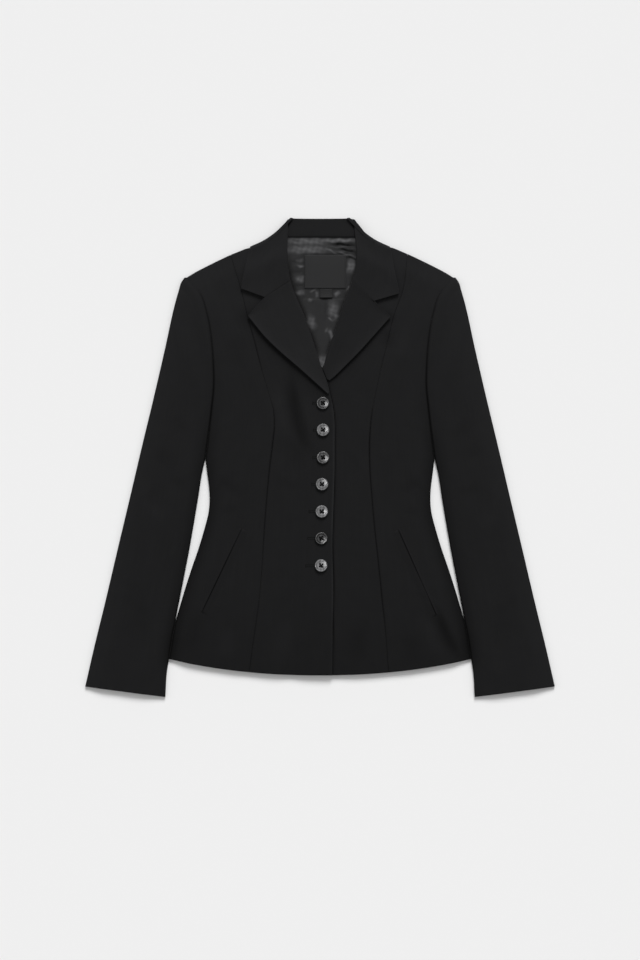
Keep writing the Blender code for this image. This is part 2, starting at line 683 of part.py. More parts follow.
def build_lining():
    y = graded(NECK_SEAM_Y - 0.5 * SEAM, V_POINT_Y + WELT, LINING_ROWS)
    neck = np.minimum(y, LINING_NECK_Y)
    inner = points(front_edge("right", neck) + LAY, y)
    outer = points(front_edge("left", neck) - LAY, y)
    plan = strip(inner, outer, LINING_SHARES)
    low = lining_bottom(plan[..., 0], plan[..., 1])
    lay_panel("back_lining", plan, low, LINING, "satin", {})


def build_flat_trim(name, box):
    (low_x, low_y), (high_x, high_y) = box
    y = graded(high_y, low_y, TRIM_STEPS)
    plan = strip(points(low_x, y), points(high_x, y), np.linspace(0.0, 1.0, TRIM_STEPS))
    low = lining_top(plan[..., 0], plan[..., 1]) + SEAM
    lay_panel(name, plan, low, LABEL, "woven_label", {})


# Pockets and buttons

def build_welt(side, side_name):
    upper, lower = (np.array(end) for end in WELT_LINES[side_name])
    dx, dy = (lower - upper) / np.hypot(*(lower - upper))
    across = WELT_WIDTH * np.array((-side * abs(dy), -abs(dx)))
    rows = np.linspace(0.0, 1.0, WELT_STEPS + 1)
    plan = strip(straight(upper + across, lower + across, rows), straight(upper, lower, rows), WELT_SHARES)
    low = front_top(side_name, plan[..., 0], plan[..., 1]) + SEAM
    rims = {"inner": GROOVE, "outer": GROOVE}
    lay_panel("welt_" + side_name, plan, low, WELT, "suiting", rims)


def build_button(number):
    share = (number - 1) / (BUTTON_COUNT - 1)
    centre = np.array(BUTTON_FIRST) + share * (np.array(BUTTON_LAST) - np.array(BUTTON_FIRST))
    turn = np.linspace(0.0, 2.0 * math.pi, BUTTON_SIDES, endpoint=False)
    rim = centre + BUTTON_RADIUS * points(np.cos(turn), np.sin(turn))
    level = float(front_top("right", rim[:, 0], rim[:, 1]).max()) + LAY
    vertices = []
    for radius, z in zip(BUTTON_SECTION.columns["radius"], BUTTON_SECTION.columns["z"]):
        ring = centre + radius * points(np.cos(turn), np.sin(turn))
        vertices += [(x, y, level + z) for x, y in ring]
    rings = len(BUTTON_SECTION.stations)
    last = (rings - 1) * BUTTON_SIDES
    faces = [tuple(reversed(range(BUTTON_SIDES))), tuple(range(last, last + BUTTON_SIDES))]
    for ring in range(rings - 1):
        for k in range(BUTTON_SIDES):
            a = ring * BUTTON_SIDES + k
            b = ring * BUTTON_SIDES + (k + 1) % BUTTON_SIDES
            faces.append((a, b, b + BUTTON_SIDES, a + BUTTON_SIDES))
    button = make_object("button_%d" % number, vertices, faces, "horn")
    cut_thread_holes(button, centre, level)


def cut_thread_holes(button, centre, level):
    for corner in range(4):
        angle = math.radians(45.0 + 90.0 * corner)
        reach = BUTTON_HOLE_OFFSET * math.sqrt(2.0)
        x = centre[0] + reach * math.cos(angle)
        y = centre[1] + FRAME_Y + reach * math.sin(angle)
        bpy.ops.mesh.primitive_cylinder_add(
            vertices=HOLE_SIDES,
            radius=BUTTON_HOLE_RADIUS * MM,
            depth=HOLE_DEPTH * MM,
            location=(x * MM, y * MM, level * MM))
        cutter = bpy.context.object
        cut = button.modifiers.new("thread_hole", "BOOLEAN")
        cut.operation = "DIFFERENCE"
        cut.object = cutter
        cutter.name = "%s_cutter_%d" % (button.name, corner + 1)
        cutter.hide_render = True
        cutter.display_type = "WIRE"


def main():
    clear_scene()
    bpy.context.collection.objects.link(bpy.data.objects.new("blazer", None))
    for side, side_name in SIDES:
        build_back(side, side_name)
        build_front(side, side_name)
        build_side_front(side, side_name)
        build_sleeve(side, side_name)
        build_lapel(side, side_name)
        build_welt(side, side_name)
    build_collar_fall()
    build_collar_stand()
    build_lining()
    build_flat_trim("neck_label", LABEL_BOX)
    build_flat_trim("size_tab", TAB_BOX)
    for number in range(1, BUTTON_COUNT + 1):
        build_button(number)


main()
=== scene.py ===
import math

import bmesh
import bpy
import numpy as np
from mathutils import Matrix, Vector


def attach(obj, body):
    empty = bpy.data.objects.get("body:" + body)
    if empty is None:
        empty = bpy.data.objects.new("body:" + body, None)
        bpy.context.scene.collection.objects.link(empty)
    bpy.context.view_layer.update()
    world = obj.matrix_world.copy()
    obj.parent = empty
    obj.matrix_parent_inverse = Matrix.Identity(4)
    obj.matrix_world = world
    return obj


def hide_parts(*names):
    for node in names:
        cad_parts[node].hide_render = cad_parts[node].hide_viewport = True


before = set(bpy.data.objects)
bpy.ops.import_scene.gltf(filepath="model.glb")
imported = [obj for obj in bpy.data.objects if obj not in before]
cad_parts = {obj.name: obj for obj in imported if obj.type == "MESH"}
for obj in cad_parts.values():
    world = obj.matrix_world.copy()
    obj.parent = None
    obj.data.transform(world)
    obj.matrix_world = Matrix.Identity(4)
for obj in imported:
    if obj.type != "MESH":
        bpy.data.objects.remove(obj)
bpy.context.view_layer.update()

# The draft below is in millimetres, x to the wearer's left, y from hem to collar.
# Every mesh ends up in metres, in the frame's own place.
mm = 0.001
sides = ((-1, "right"), (1, "left"))


def smoothTable(columns, rows):
    ordered = sorted(rows)
    lines = {name: np.array([row[i] for row in ordered], float) for i, name in enumerate(columns)}
    stations = lines[columns[0]]

    def at(name, station):
        values = lines[name]
        slopes = np.gradient(values, stations)
        place = np.clip(station, stations[0], stations[-1])
        i = np.clip(np.searchsorted(stations, place) - 1, 0, len(values) - 2)
        step = stations[i + 1] - stations[i]
        t = (place - stations[i]) / step
        rise = values[i + 1] - values[i]
        start = slopes[i] * step - rise
        end = rise - slopes[i + 1] * step
        return values[i] + t * rise + t * (1.0 - t) * ((1.0 - t) * start + t * end)

    return at


def ease(t):
    t = np.clip(t, 0.0, 1.0)
    return t * t * (3.0 - 2.0 * t)


# Cloth walls, gaps and the way the layers stand off each other
cloth = {
    "wall": 2.2, "turned": 2.4, "lining": 1.2, "label": 1.0, "seam": 0.3, "lay": 0.5,
    "bodyLoft": 2.6, "bustLoft": 0.6, "sleeveLoft": 2.8, "centreLoft": 1.3, "edgeRoll": 32.0,
    "shoulderKeep": 0.25, "joinRun": 100.0, "armGap": 0.02}
cloth["lapRise"] = cloth["wall"] + cloth["lay"]
cloth["collarLift"] = cloth["wall"] + cloth["seam"]

# Main heights of the draft
draft = {
    "hemCentreY": -313.8, "hemSideY": -290.5, "hemHalf": 215.0, "hemPower": 2.2, "underarmY": -3.0,
    "shoulderTipY": 255.5, "pointY": 125.0, "neckY": 312.5, "collarTopY": 340.0, "cuffInnerY": -345.0,
    "cuffOuterY": -330.0, "neckHalf": 62.0, "neckCurveY": 285.0, "neckSpread": 11.0}
frameShift = np.array((0.0, -0.5 * (draft["collarTopY"] + draft["cuffInnerY"]), 0.0))

# Edges of the pattern, as distances from the centre line
armhole = smoothTable(("y", "x"), (
    (255.5, 190.6), (238.0, 175.0), (204.0, 162.0), (168.0, 155.5), (129.0, 152.5),
    (102.0, 152.0), (67.0, 155.3), (28.0, 160.0), (-3.0, 164.0)))
sideSeam = smoothTable(("y", "x"), (
    (-3.0, 164.0), (-20.0, 162.0), (-49.0, 158.5), (-63.0, 158.0), (-77.0, 159.0), (-106.0, 166.0),
    (-134.0, 174.5), (-163.0, 184.5), (-192.0, 193.8), (-220.0, 202.1), (-236.0, 206.7), (-250.0, 209.7),
    (-290.5, 216.3)))
sleeveFore = smoothTable(("y", "x"), (
    (-3.0, 164.0), (-20.0, 168.0), (-63.0, 175.0), (-134.4, 187.3), (-206.0, 201.3), (-221.0, 204.3),
    (-236.0, 206.8), (-250.0, 209.7), (-290.5, 216.3), (-306.0, 218.9), (-345.0, 221.5)))
sleeveHind = smoothTable(("y", "x"), (
    (255.5, 193.8), (249.0, 198.4), (237.0, 202.3), (223.0, 206.3), (151.6, 222.4), (80.0, 239.0),
    (8.6, 256.2), (-63.0, 273.0), (-134.4, 290.0), (-206.0, 306.8), (-277.4, 324.2), (-330.0, 336.2)))
princess = smoothTable(("y", "right", "left"), (
    (288.0, 128.0, 125.0), (240.0, 113.5, 119.0), (195.0, 102.5, 104.0), (166.0, 94.4, 97.2),
    (122.0, 83.0, 86.5), (94.0, 74.4, 80.5), (63.0, 66.4, 74.5), (44.0, 65.2, 72.3), (19.0, 67.6, 70.8),
    (-16.0, 72.0, 71.2), (-56.0, 75.8, 74.0), (-92.0, 78.7, 77.0), (-134.0, 81.5, 81.4),
    (-177.0, 84.4, 86.0), (-213.0, 88.0, 89.6), (-249.0, 93.0, 93.6), (-285.0, 98.2, 96.4),
    (-310.0, 101.5, 98.0)))
princessEnds = {"right": (128.0, 101.5), "left": (125.0, 98.0)}      # at the shoulder and at the hem
shoulder = smoothTable(("x", "y"), (
    (62.0, 311.5), (80.0, 302.5), (96.0, 298.6), (104.0, 297.0), (118.0, 291.8), (140.0, 282.6),
    (165.0, 271.2), (181.0, 263.2), (193.8, 255.5)))
rollLine = smoothTable(("y", "right", "left"), (
    (323.0, -45.9, 49.3), (290.0, -46.3, 51.9), (262.0, -44.4, 49.0), (240.0, -38.8, 42.2),
    (220.0, -30.6, 34.2), (200.0, -22.0, 28.0), (180.0, -15.0, 22.0), (160.0, -8.4, 14.0),
    (142.0, -2.8, 8.6), (125.0, 2.7, 3.5)))
closing = smoothTable(("y", "right", "left"), (
    (125.0, 2.7, 3.5), (105.8, 10.2, -9.0), (86.0, 14.8, -14.0), (70.0, 18.5, -14.5), (51.5, 20.6, -15.0),
    (20.0, 20.8, -15.0), (-28.6, 20.6, -15.0), (-76.0, 19.1, -15.5), (-120.0, 17.8, -16.0),
    (-190.0, 18.8, -16.0), (-250.0, 18.0, -16.0), (-313.8, 17.4, -16.0)))

# Lapels: height on the roll line and the point on the outer edge, row by row
lapelColumns = ("row", "rollY", "outerX", "outerY")
lapelEndRow = 5.0
lapelEdge = {
    "right": smoothTable(lapelColumns, (
        (0.0, 228.0, -103.2, 200.2), (1.0, 204.0, -79.6, 171.0), (2.0, 180.0, -56.6, 148.6),
        (3.0, 154.0, -30.7, 126.2), (4.0, 120.0, 0.2, 98.4), (5.0, 92.0, 11.6, 88.0))),
    "left": smoothTable(lapelColumns, (
        (0.0, 226.0, 101.1, 198.9), (1.0, 202.0, 77.6, 172.5), (2.0, 178.0, 57.0, 149.6),
        (3.0, 154.0, 38.0, 130.4), (4.0, 126.0, 22.4, 115.0), (5.0, 109.0, 13.9, 108.0))),
}

# Soft creases: ends, half width, height (a trough is below 0), lean to one side and bow of the line
creaseColumns = ("x0", "y0", "x1", "y1", "halfWidth", "height", "lean", "bow")
frontCreases = (
    (-43.0, 136.0, -7.0, -16.0, 9.0, -2.4, 0.2, 9.0),       # drag beside the first three buttons
    (-62.0, 118.0, -38.0, 8.0, 12.0, 0.8, 0.0, 7.0),
    (-22.0, 92.0, -13.0, 30.0, 8.0, 0.5, 0.0, 0.0),
    (-54.0, 30.0, -20.0, -28.0, 10.0, -0.6, 0.2, -3.0),
    (-66.0, -30.0, -26.0, -52.0, 8.0, -0.5, 0.0, 2.0),
    (101.0, 184.0, 97.0, 146.0, 9.0, -1.0, 0.0, 2.0),       # dimple over the left bust
    (118.0, 180.0, 121.0, 128.0, 13.0, 0.5, 0.0, 3.0),
    (-116.0, 176.0, -121.0, 120.0, 13.0, -0.6, 0.2, -3.0),
    (160.0, -206.0, 207.0, -302.0, 8.0, -2.3, 0.2, 3.0),    # fold above the left hem
    (144.0, -220.0, 182.0, -304.0, 10.0, 0.8, 0.0, 3.0),
    (-176.0, -212.0, -198.0, -294.0, 12.0, -0.8, -0.2, -3.0),
    (-128.0, -240.0, -138.0, -306.0, 14.0, 0.7, 0.0, 0.0),
    (56.0, -230.0, 62.0, -312.0, 13.0, -0.7, 0.2, 2.0),
    (128.0, -250.0, 134.0, -308.0, 12.0, -0.6, 0.0, 0.0),
    (-46.0, -226.0, -50.0, -312.0, 15.0, 0.6, 0.2, 2.0),
    (120.0, 274.0, 122.0, 238.0, 2.6, -0.5, 0.0, 1.0),      # fine creases beside the collar
    (129.0, 270.0, 126.0, 232.0, 2.4, -0.45, 0.0, -1.0),
    (138.0, 266.0, 133.0, 244.0, 2.8, -0.3, 0.0, 0.0),
    (-124.0, 272.0, -120.0, 246.0, 2.8, -0.35, 0.0, 0.0),
    (148.0, -34.0, 112.0, -62.0, 8.0, -0.6, 0.2, 2.0),      # waist
    (-150.0, -30.0, -110.0, -66.0, 8.0, -0.6, -0.2, -2.0),
    (-148.0, -84.0, -116.0, -72.0, 7.0, -0.5, 0.0, 2.0),
    (146.0, -86.0, 118.0, -78.0, 7.0, -0.45, 0.0, 0.0),
)
sleeveCreases = (
    (-210.0, 60.0, -186.0, 30.0, 9.0, -0.5, 0.2, 3.0),      # elbow, wearer's right
    (-246.0, 6.0, -206.0, -26.0, 10.0, -0.55, -0.2, -4.0),
    (-220.0, -30.0, -184.0, -44.0, 8.0, -0.45, 0.2, 3.0),
    (-252.0, -66.0, -214.0, -96.0, 11.0, 0.45, 0.0, 3.0),
    (-258.0, -172.0, -246.0, -286.0, 15.0, -0.45, 0.2, 4.0),
    (-206.0, 206.0, -184.0, 120.0, 12.0, 0.4, 0.0, -4.0),
    (212.0, 54.0, 184.0, 20.0, 9.0, -0.5, -0.2, -3.0),      # elbow, wearer's left
    (240.0, 14.0, 204.0, -14.0, 10.0, -0.45, 0.2, 3.0),
    (232.0, -40.0, 190.0, -58.0, 9.0, -0.5, -0.2, -3.0),
    (258.0, -84.0, 222.0, -104.0, 11.0, 0.4, 0.0, -2.0),
    (270.0, -190.0, 256.0, -290.0, 14.0, -0.4, -0.2, 4.0),
    (202.0, 196.0, 186.0, 110.0, 12.0, 0.4, 0.0, 4.0),
)
liningCreases = (
    (-48.0, 307.5, -2.0, 307.5, 3.2, 0.6, 0.0, 0.0),        # two soft bands under the neck seam
    (-40.0, 307.0, -26.0, 307.2, 1.3, -0.7, 0.0, 0.2),
    (-48.0, 301.6, 2.0, 301.8, 1.3, -0.6, 0.0, 0.3),
    (-48.0, 295.5, 0.0, 295.5, 3.6, 0.6, 0.0, 0.0),
    (6.0, 306.5, 56.0, 308.0, 2.4, 1.0, 0.2, 0.6),          # gathers at the neck's left corner
    (14.0, 303.4, 57.0, 301.4, 1.7, -1.0, 0.0, 0.8),
    (8.0, 300.2, 56.0, 297.6, 1.8, 0.8, 0.0, 0.8),
    (22.0, 298.0, 57.0, 291.5, 1.9, -1.2, 0.0, 0.8),
    (6.0, 296.6, 56.0, 286.5, 1.8, 1.0, -0.2, 1.0),
    (28.0, 289.4, 57.0, 280.5, 2.0, -1.0, 0.0, 0.8),
    (-18.0, 291.0, 36.0, 289.6, 1.5, 0.6, 0.0, 0.4),
    (-46.0, 284.0, -22.0, 284.0, 3.4, 0.6, 0.2, 0.0),       # puckers beside the label
    (-44.0, 277.4, -22.0, 277.0, 2.0, -0.6, 0.0, 0.3),
    (-38.0, 272.0, -20.0, 272.4, 2.2, 0.8, 0.0, 0.0),
    (-44.0, 262.0, -20.0, 262.6, 3.0, -0.8, 0.0, 0.4),
    (-41.0, 252.6, -20.0, 253.4, 4.2, 1.0, -0.2, 0.5),
    (-38.0, 243.0, -18.0, 243.6, 2.4, -0.8, 0.0, 0.0),
    (45.0, 284.0, 41.0, 258.0, 5.5, 1.1, 0.2, 0.0),
    (41.0, 258.0, 38.0, 242.0, 3.6, -0.8, 0.0, 0.0),
    (-33.0, 236.0, -17.0, 232.0, 2.8, 1.0, 0.2, 0.6),
    (20.0, 236.0, 36.0, 232.0, 2.8, 1.0, 0.0, 0.6),
    (-18.0, 226.0, -9.0, 219.0, 2.6, 0.7, 0.0, 0.0),
    (-18.0, 211.0, -6.0, 171.0, 4.6, 1.3, 0.2, -1.2),       # broad puckers lower down
    (16.0, 228.0, 24.0, 194.0, 5.0, 1.3, -0.2, 0.8),
    (14.0, 199.0, 27.0, 193.0, 2.0, -0.8, 0.0, 0.0),
    (8.0, 190.0, 18.0, 164.0, 3.0, 1.2, 0.2, 0.5),
    (10.6, 228.0, 10.0, 190.0, 1.9, -1.0, 0.5, 0.5),        # centre back pleat
    (-1.0, 160.0, 4.0, 126.0, 5.0, 1.1, 0.0, 0.0),
)
creaseTaper = 0.4        # share of a crease over which it fades at each end
creaseOverrun = 0.5


def creaseHeight(x, y, rows):
    height = np.zeros(np.broadcast(x, y).shape)
    for row in rows:
        crease = dict(zip(creaseColumns, row))
        run = np.array((crease["x1"] - crease["x0"], crease["y1"] - crease["y0"]))
        length = np.hypot(*run)
        dx = x - crease["x0"]
        dy = y - crease["y0"]
        share = np.clip((dx * run[0] + dy * run[1]) / length ** 2, -creaseOverrun, 1.0 + creaseOverrun)
        away = (dx * run[1] - dy * run[0]) / length - crease["bow"] * 4.0 * share * (1.0 - share)
        width = crease["halfWidth"] * (1.0 + crease["lean"] * np.sign(away))
        taper = ease(share / creaseTaper) * ease((1.0 - share) / creaseTaper)
        height += crease["height"] * taper * np.exp(-(away / width) ** 2)
    return height


# Slow rise and fall of cloth that isn't pressed dead flat: wavelengths, phase and height
drift = (
    (118.0, 260.0, 0.4, 0.22), (-86.0, 170.0, 2.1, 0.18), (64.0, -120.0, 4.0, 0.13),
    (41.0, 77.0, 1.2, 0.07))


def driftHeight(x, y):
    rise = 0.0
    for waveX, waveY, phase, height in drift:
        rise = rise + height * np.sin(2.0 * math.pi * (x / waveX + y / waveY) + phase)
    return rise


# Outline and layer heights
bust = {"x": 88.0, "y": 60.0, "halfX": 45.0, "halfY": 75.0}
closingLow = {"half": 62.0, "fade": 40.0}
lap = {"startX": -46.0, "run": 28.0, "topY": 175.0, "fade": 45.0}
lift = {"startY": 225.0, "run": 62.0, "half": 165.0, "fade": 60.0}
lipRoom = {"inset": 4.6, "fade": 20.0, "width": 12.0}


def hemY(x):
    rise = draft["hemSideY"] - draft["hemCentreY"]
    return draft["hemCentreY"] + rise * (np.abs(x) / draft["hemHalf"]) ** draft["hemPower"]


def bodyEdge(y):
    return np.where(y >= draft["underarmY"], armhole("x", y), sideSeam("x", y))


def sleeveForeEdge(y):
    return np.where(y >= draft["underarmY"], armhole("x", y), sleeveFore("x", y))


def frontEdge(sideName, y):
    sign = -1 if sideName == "right" else 1
    inset = lipRoom["inset"] * ease((y - draft["pointY"]) / lipRoom["fade"])
    neck = draft["neckSpread"] * ease((y - draft["neckCurveY"]) / (draft["neckY"] - draft["neckCurveY"]))
    turned = rollLine(sideName, y) + sign * (inset + neck)
    return np.where(y >= draft["pointY"], turned, closing(sideName, y))


def backLow(x, y):
    along = ease((y - lift["startY"]) / lift["run"])
    return cloth["collarLift"] * along * ease((lift["half"] - np.abs(x)) / lift["fade"])


def backTop(x, y):
    return backLow(x, y) + cloth["wall"]


def lapShare(y):
    return ease((lap["topY"] - y) / lap["fade"])


def bodyLoft(x, y):
    side = np.abs(x)
    joined = ease(y / cloth["joinRun"])
    across = joined + (1.0 - joined) * ease((bodyEdge(y) - side) / cloth["edgeRoll"])
    below = ease((shoulder("y", side) - y) / cloth["edgeRoll"])
    keep = cloth["shoulderKeep"] + (1.0 - cloth["shoulderKeep"]) * below
    flat = ease((closingLow["half"] - side) / closingLow["fade"]) * lapShare(y)
    height = cloth["bodyLoft"] - (cloth["bodyLoft"] - cloth["centreLoft"]) * flat
    swell = cloth["bustLoft"] * np.exp(
        -((side - bust["x"]) / bust["halfX"]) ** 2 - ((y - bust["y"]) / bust["halfY"]) ** 2)
    settled = across * keep * (height + swell)
    moved = across * (creaseHeight(x, y, frontCreases) + driftHeight(x, y))
    return np.maximum(settled + moved, 0.0)


def frontLow(sideName, x, y):
    height = backTop(x, y) + cloth["seam"] + bodyLoft(x, y)
    if sideName == "right":
        height = height + cloth["lapRise"] * ease((x - lap["startX"]) / lap["run"]) * lapShare(y)
    return height


def frontTop(sideName, x, y):
    return frontLow(sideName, x, y) + cloth["wall"]


def sleeveLow(x, y):
    side = np.abs(x)
    joined = ease(y / cloth["joinRun"])
    fore = joined + (1.0 - joined) * ease((side - sleeveForeEdge(y)) / cloth["edgeRoll"])
    hind = ease((sleeveHind("x", y) - side) / cloth["edgeRoll"])
    moved = creaseHeight(x, y, sleeveCreases) + driftHeight(x, y)
    return cloth["wall"] + cloth["seam"] + np.maximum(fore * hind * (cloth["sleeveLoft"] + moved), 0.0)


# Shells: two matching grids of points joined round their rim
rimSteps = np.array((0.0, 0.07, 0.28, 0.62, 1.08, 1.62, 2.3, 3.2, 4.4))     # finer spacing along an edge
rimRoom = 3.0        # a piece narrower than this many rims gets finer ones
seamReach = 1.3      # how far a sewn line draws the cloth in
seamPower = 1.2
roundShare = 0.94    # share of a wall that a rounded edge takes
outsideClear = 0.02  # least height of the outer side of a turned wall
sharpAngle = 62.0
toneLimits = (-0.94, 4.0)


def spacing(length, step):
    scale = min(1.0, length / (rimRoom * rimSteps[-1]))
    rim = rimSteps * scale
    count = max(2, int(round((length - 2.0 * rim[-1]) / step)))
    middle = np.linspace(rim[-1], length - rim[-1], count + 1)[1:-1]
    return np.concatenate((rim, middle, length - rim[::-1])) / length


def acrossShares(width, typical, step):
    # one row of shares for each width, all with the same number of columns
    count = len(spacing(typical, step))
    inner = count - 2 * len(rimSteps)
    scale = np.minimum(1.0, width / (rimRoom * rimSteps[-1]))[:, None]
    rim = rimSteps[None, :] * scale
    part = np.linspace(0.0, 1.0, inner + 2)[1:-1][None, :]
    middle = rim[:, -1:] + part * (width[:, None] - 2.0 * rim[:, -1:])
    return np.concatenate((rim, middle, width[:, None] - rim[:, ::-1]), axis=1) / width[:, None]


def runs(grid):
    # distance of each grid point from the four edges, along the grid lines
    across = np.linalg.norm(np.diff(grid, axis=1), axis=-1)
    along = np.linalg.norm(np.diff(grid, axis=0), axis=-1)
    fromInner = np.concatenate((np.zeros((grid.shape[0], 1)), np.cumsum(across, axis=1)), axis=1)
    fromTop = np.concatenate((np.zeros((1, grid.shape[1])), np.cumsum(along, axis=0)), axis=0)
    return {"inner": fromInner, "outer": fromInner[:, -1:] - fromInner,
            "top": fromTop, "bottom": fromTop[-1:] - fromTop}


def rounding(distance, radius):
    t = np.clip(distance / radius, 0.0, 1.0)
    return roundShare * (1.0 - np.sqrt(1.0 - (1.0 - t) ** 2))


def rimMoves(grid, wall, edges):
    # how far the top comes down and the underside comes up along each kind of edge
    away = runs(grid)
    down = np.zeros(grid.shape[:2])
    up = np.zeros(grid.shape[:2])
    for edge, kind, size, share in edges:
        if kind == "nose":        # an edge turned back on itself
            curve = share * 0.5 * wall * rounding(away[edge], size)
            down = np.maximum(down, curve)
            up = np.maximum(up, curve)
        elif kind == "over":      # upper half of a folded tube
            down = np.maximum(down, share * wall * rounding(away[edge], size))
        elif kind == "under":     # lower half of a folded tube
            up = np.maximum(up, share * wall * rounding(away[edge], size))
        elif kind == "seam":      # drawn in by a sewn line
            down = np.maximum(down, share * size * np.exp(-(away[edge] / seamReach) ** seamPower))
    return down, up


def edgePaintedLight(grid, edges):
    # painted light along edges: a painted highlight where an edge catches the light, and painted shade
    # where a seam draws the cloth in
    away = runs(grid)
    tone = np.zeros(grid.shape[:2])
    for edge, amount, reach in edges:
        tone = tone + amount * np.exp(-(away[edge] / reach) ** 2)
    return tone


def shellMesh(name, top, bottom, uv, tone):
    rows, columns = top.shape[:2]
    under = rows * columns
    index = np.arange(under).reshape(rows, columns)
    corners = (index[:-1, :-1], index[:-1, 1:], index[1:, 1:], index[1:, :-1])
    upper = np.stack(corners, axis=-1).reshape(-1, 4)
    ring = np.concatenate((index[0, :-1], index[:-1, -1], index[-1, :0:-1], index[:0:-1, 0]))
    after = np.roll(ring, -1)
    rim = np.stack((after, ring, ring + under, after + under), axis=-1)
    quads = np.concatenate((upper, upper[:, ::-1] + under, rim))
    points = (np.concatenate((top.reshape(-1, 3), bottom.reshape(-1, 3))) + frameShift) * mm
    corner = points[quads]
    volume = np.einsum("ij,ij->i", corner[:, 0], np.cross(corner[:, 1], corner[:, 2])).sum()
    volume += np.einsum("ij,ij->i", corner[:, 0], np.cross(corner[:, 2], corner[:, 3])).sum()
    if volume < 0.0:
        quads = quads[:, ::-1]
    mesh = bpy.data.meshes.new(name)
    mesh.vertices.add(len(points))
    mesh.vertices.foreach_set("co", points.astype(np.float32).ravel())
    mesh.loops.add(quads.size)
    mesh.loops.foreach_set("vertex_index", quads.astype(np.int32).ravel())
    mesh.polygons.add(len(quads))
    mesh.polygons.foreach_set("loop_start", np.arange(0, quads.size, 4, dtype=np.int32))
    mesh.update(calc_edges=True)
    layer = mesh.uv_layers.new(name="cloth")
    flat = np.tile(uv.reshape(-1, 2) * mm, (2, 1))
    layer.data.foreach_set("uv", flat[quads.ravel()].astype(np.float32).ravel())
    # each point carries its painted highlight or painted shade
    paintedLightAndTone = mesh.attributes.new("paintedLightAndTone", "FLOAT", "POINT")
    paintedLightAndTone.data.foreach_set("value", np.tile(np.clip(tone, *toneLimits).ravel(), 2).astype(np.float32))
    mesh.shade_smooth()
    mesh.set_sharp_from_angle(angle=math.radians(sharpAngle))
    return mesh


def addPiece(name, mesh, material, node):
    piece = bpy.data.objects.new(name, mesh)
    bpy.context.scene.collection.objects.link(piece)
    mesh.materials.append(material)
    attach(piece, "root")
    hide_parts(node)
    return piece


def addCloth(node, mesh, material):
    piece = addPiece("cloth_" + node, mesh, material, node)


def gridUv(grid):
    away = runs(grid)
    return np.stack((away["inner"], away["top"]), axis=-1)


def layShell(node, plan, low, wall, edges, material, paintedEdges=(), tone=0.0):
    down, up = rimMoves(plan, wall, edges)
    top = np.concatenate((plan, (low + wall - down)[..., None]), axis=-1)
    bottom = np.concatenate((plan, (low + up)[..., None]), axis=-1)
    mesh = shellMesh("cloth_" + node, top, bottom, gridUv(plan), edgePaintedLight(plan, paintedEdges) + tone)
    addCloth(node, mesh, material)


def turnShell(node, middle, wall, edges, material, paintedEdges=(), tone=0.0):
    # a wall of even thickness about a curved middle surface
    along = np.gradient(middle, axis=0)
    across = np.gradient(middle, axis=1)
    for end in (0, -1):
        dx, dy = (middle[end, -1] - middle[end, 0])[:2]
        square = np.array((-dy, dx, 0.0))
        along[end] = square * np.sign(along[end] @ square)[:, None]
    normal = np.cross(across, along)
    normal /= np.linalg.norm(normal, axis=-1, keepdims=True)
    if normal[0, :, 2].mean() < 0.0:
        normal = -normal
    down, up = rimMoves(middle, wall, edges)
    outside = middle + (0.5 * wall - down)[..., None] * normal
    inside = middle - (0.5 * wall - up)[..., None] * normal
    outside[..., 2] = np.maximum(outside[..., 2], outsideClear)
    inside[..., 2] = np.maximum(inside[..., 2], 0.0)
    mesh = shellMesh("cloth_" + node, outside, inside, gridUv(middle), edgePaintedLight(middle, paintedEdges) + tone)
    addCloth(node, mesh, material)


# Finishes
def treeNode(tree, kind, values=None, **settings):
    node = tree.nodes.new(kind)
    for name, value in settings.items():
        setattr(node, name, value)
    for name, value in (values or {}).items():
        node.inputs[name].default_value = value
    return node


def wire(tree, start, end):
    tree.links.new(start, end)


def startMaterial(name, look):
    material = bpy.data.materials.new(name)
    material.use_nodes = True
    shader = material.node_tree.nodes["Principled BSDF"]
    shader.inputs["Base Color"].default_value = (*look["light"], 1.0)
    shader.inputs["Roughness"].default_value = look["rough"]
    shader.inputs["Specular IOR Level"].default_value = look["specular"]
    return material, shader


def addNode(material, kind, values=None, **settings):
    return treeNode(material.node_tree, kind, values, **settings)


def link(material, start, end):
    wire(material.node_tree, start, end)


def mixColours(material, share, dark, light):
    mix = addNode(material, "ShaderNodeMix", data_type="RGBA")
    mix.inputs[6].default_value = (*dark, 1.0)
    mix.inputs[7].default_value = (*light, 1.0)
    link(material, share, mix.inputs[0])
    return mix.outputs[2]


def blendValues(material, first, second, share):
    mix = addNode(material, "ShaderNodeMix", data_type="FLOAT")
    mix.inputs[0].default_value = share
    link(material, first, mix.inputs[2])
    link(material, second, mix.inputs[3])
    return mix.outputs[0]


def paintedLightColour(material, colour):
    # the colour is scaled by the painted highlight and painted shade on each point, and on a button also by
    # its own tone
    paintedLightAndTone = addNode(material, "ShaderNodeAttribute", attribute_name="paintedLightAndTone")
    factor = addNode(material, "ShaderNodeMath", {1: 1.0}, operation="ADD")
    link(material, paintedLightAndTone.outputs["Fac"], factor.inputs[0])
    scaled = addNode(material, "ShaderNodeVectorMath", operation="SCALE")
    link(material, colour, scaled.inputs[0])
    link(material, factor.outputs[0], scaled.inputs["Scale"])
    return scaled.outputs[0]


def addBump(material, shader, height, look):
    bump = addNode(material, "ShaderNodeBump", {"Strength": look["bump"], "Distance": look["depth"]})
    link(material, height, bump.inputs["Height"])
    link(material, bump.outputs["Normal"], shader.inputs["Normal"])


waveTurn = 2.0 * math.pi / 20.0      # a wave texture's scale for one band in each unit


def threadBands(material, width, direction, values):
    values = {"Scale": waveTurn / width, **values}
    return addNode(material, "ShaderNodeTexWave", values, bands_direction=direction)


def noise(material, scale, values):
    return addNode(material, "ShaderNodeTexNoise", {"Scale": scale, **values})


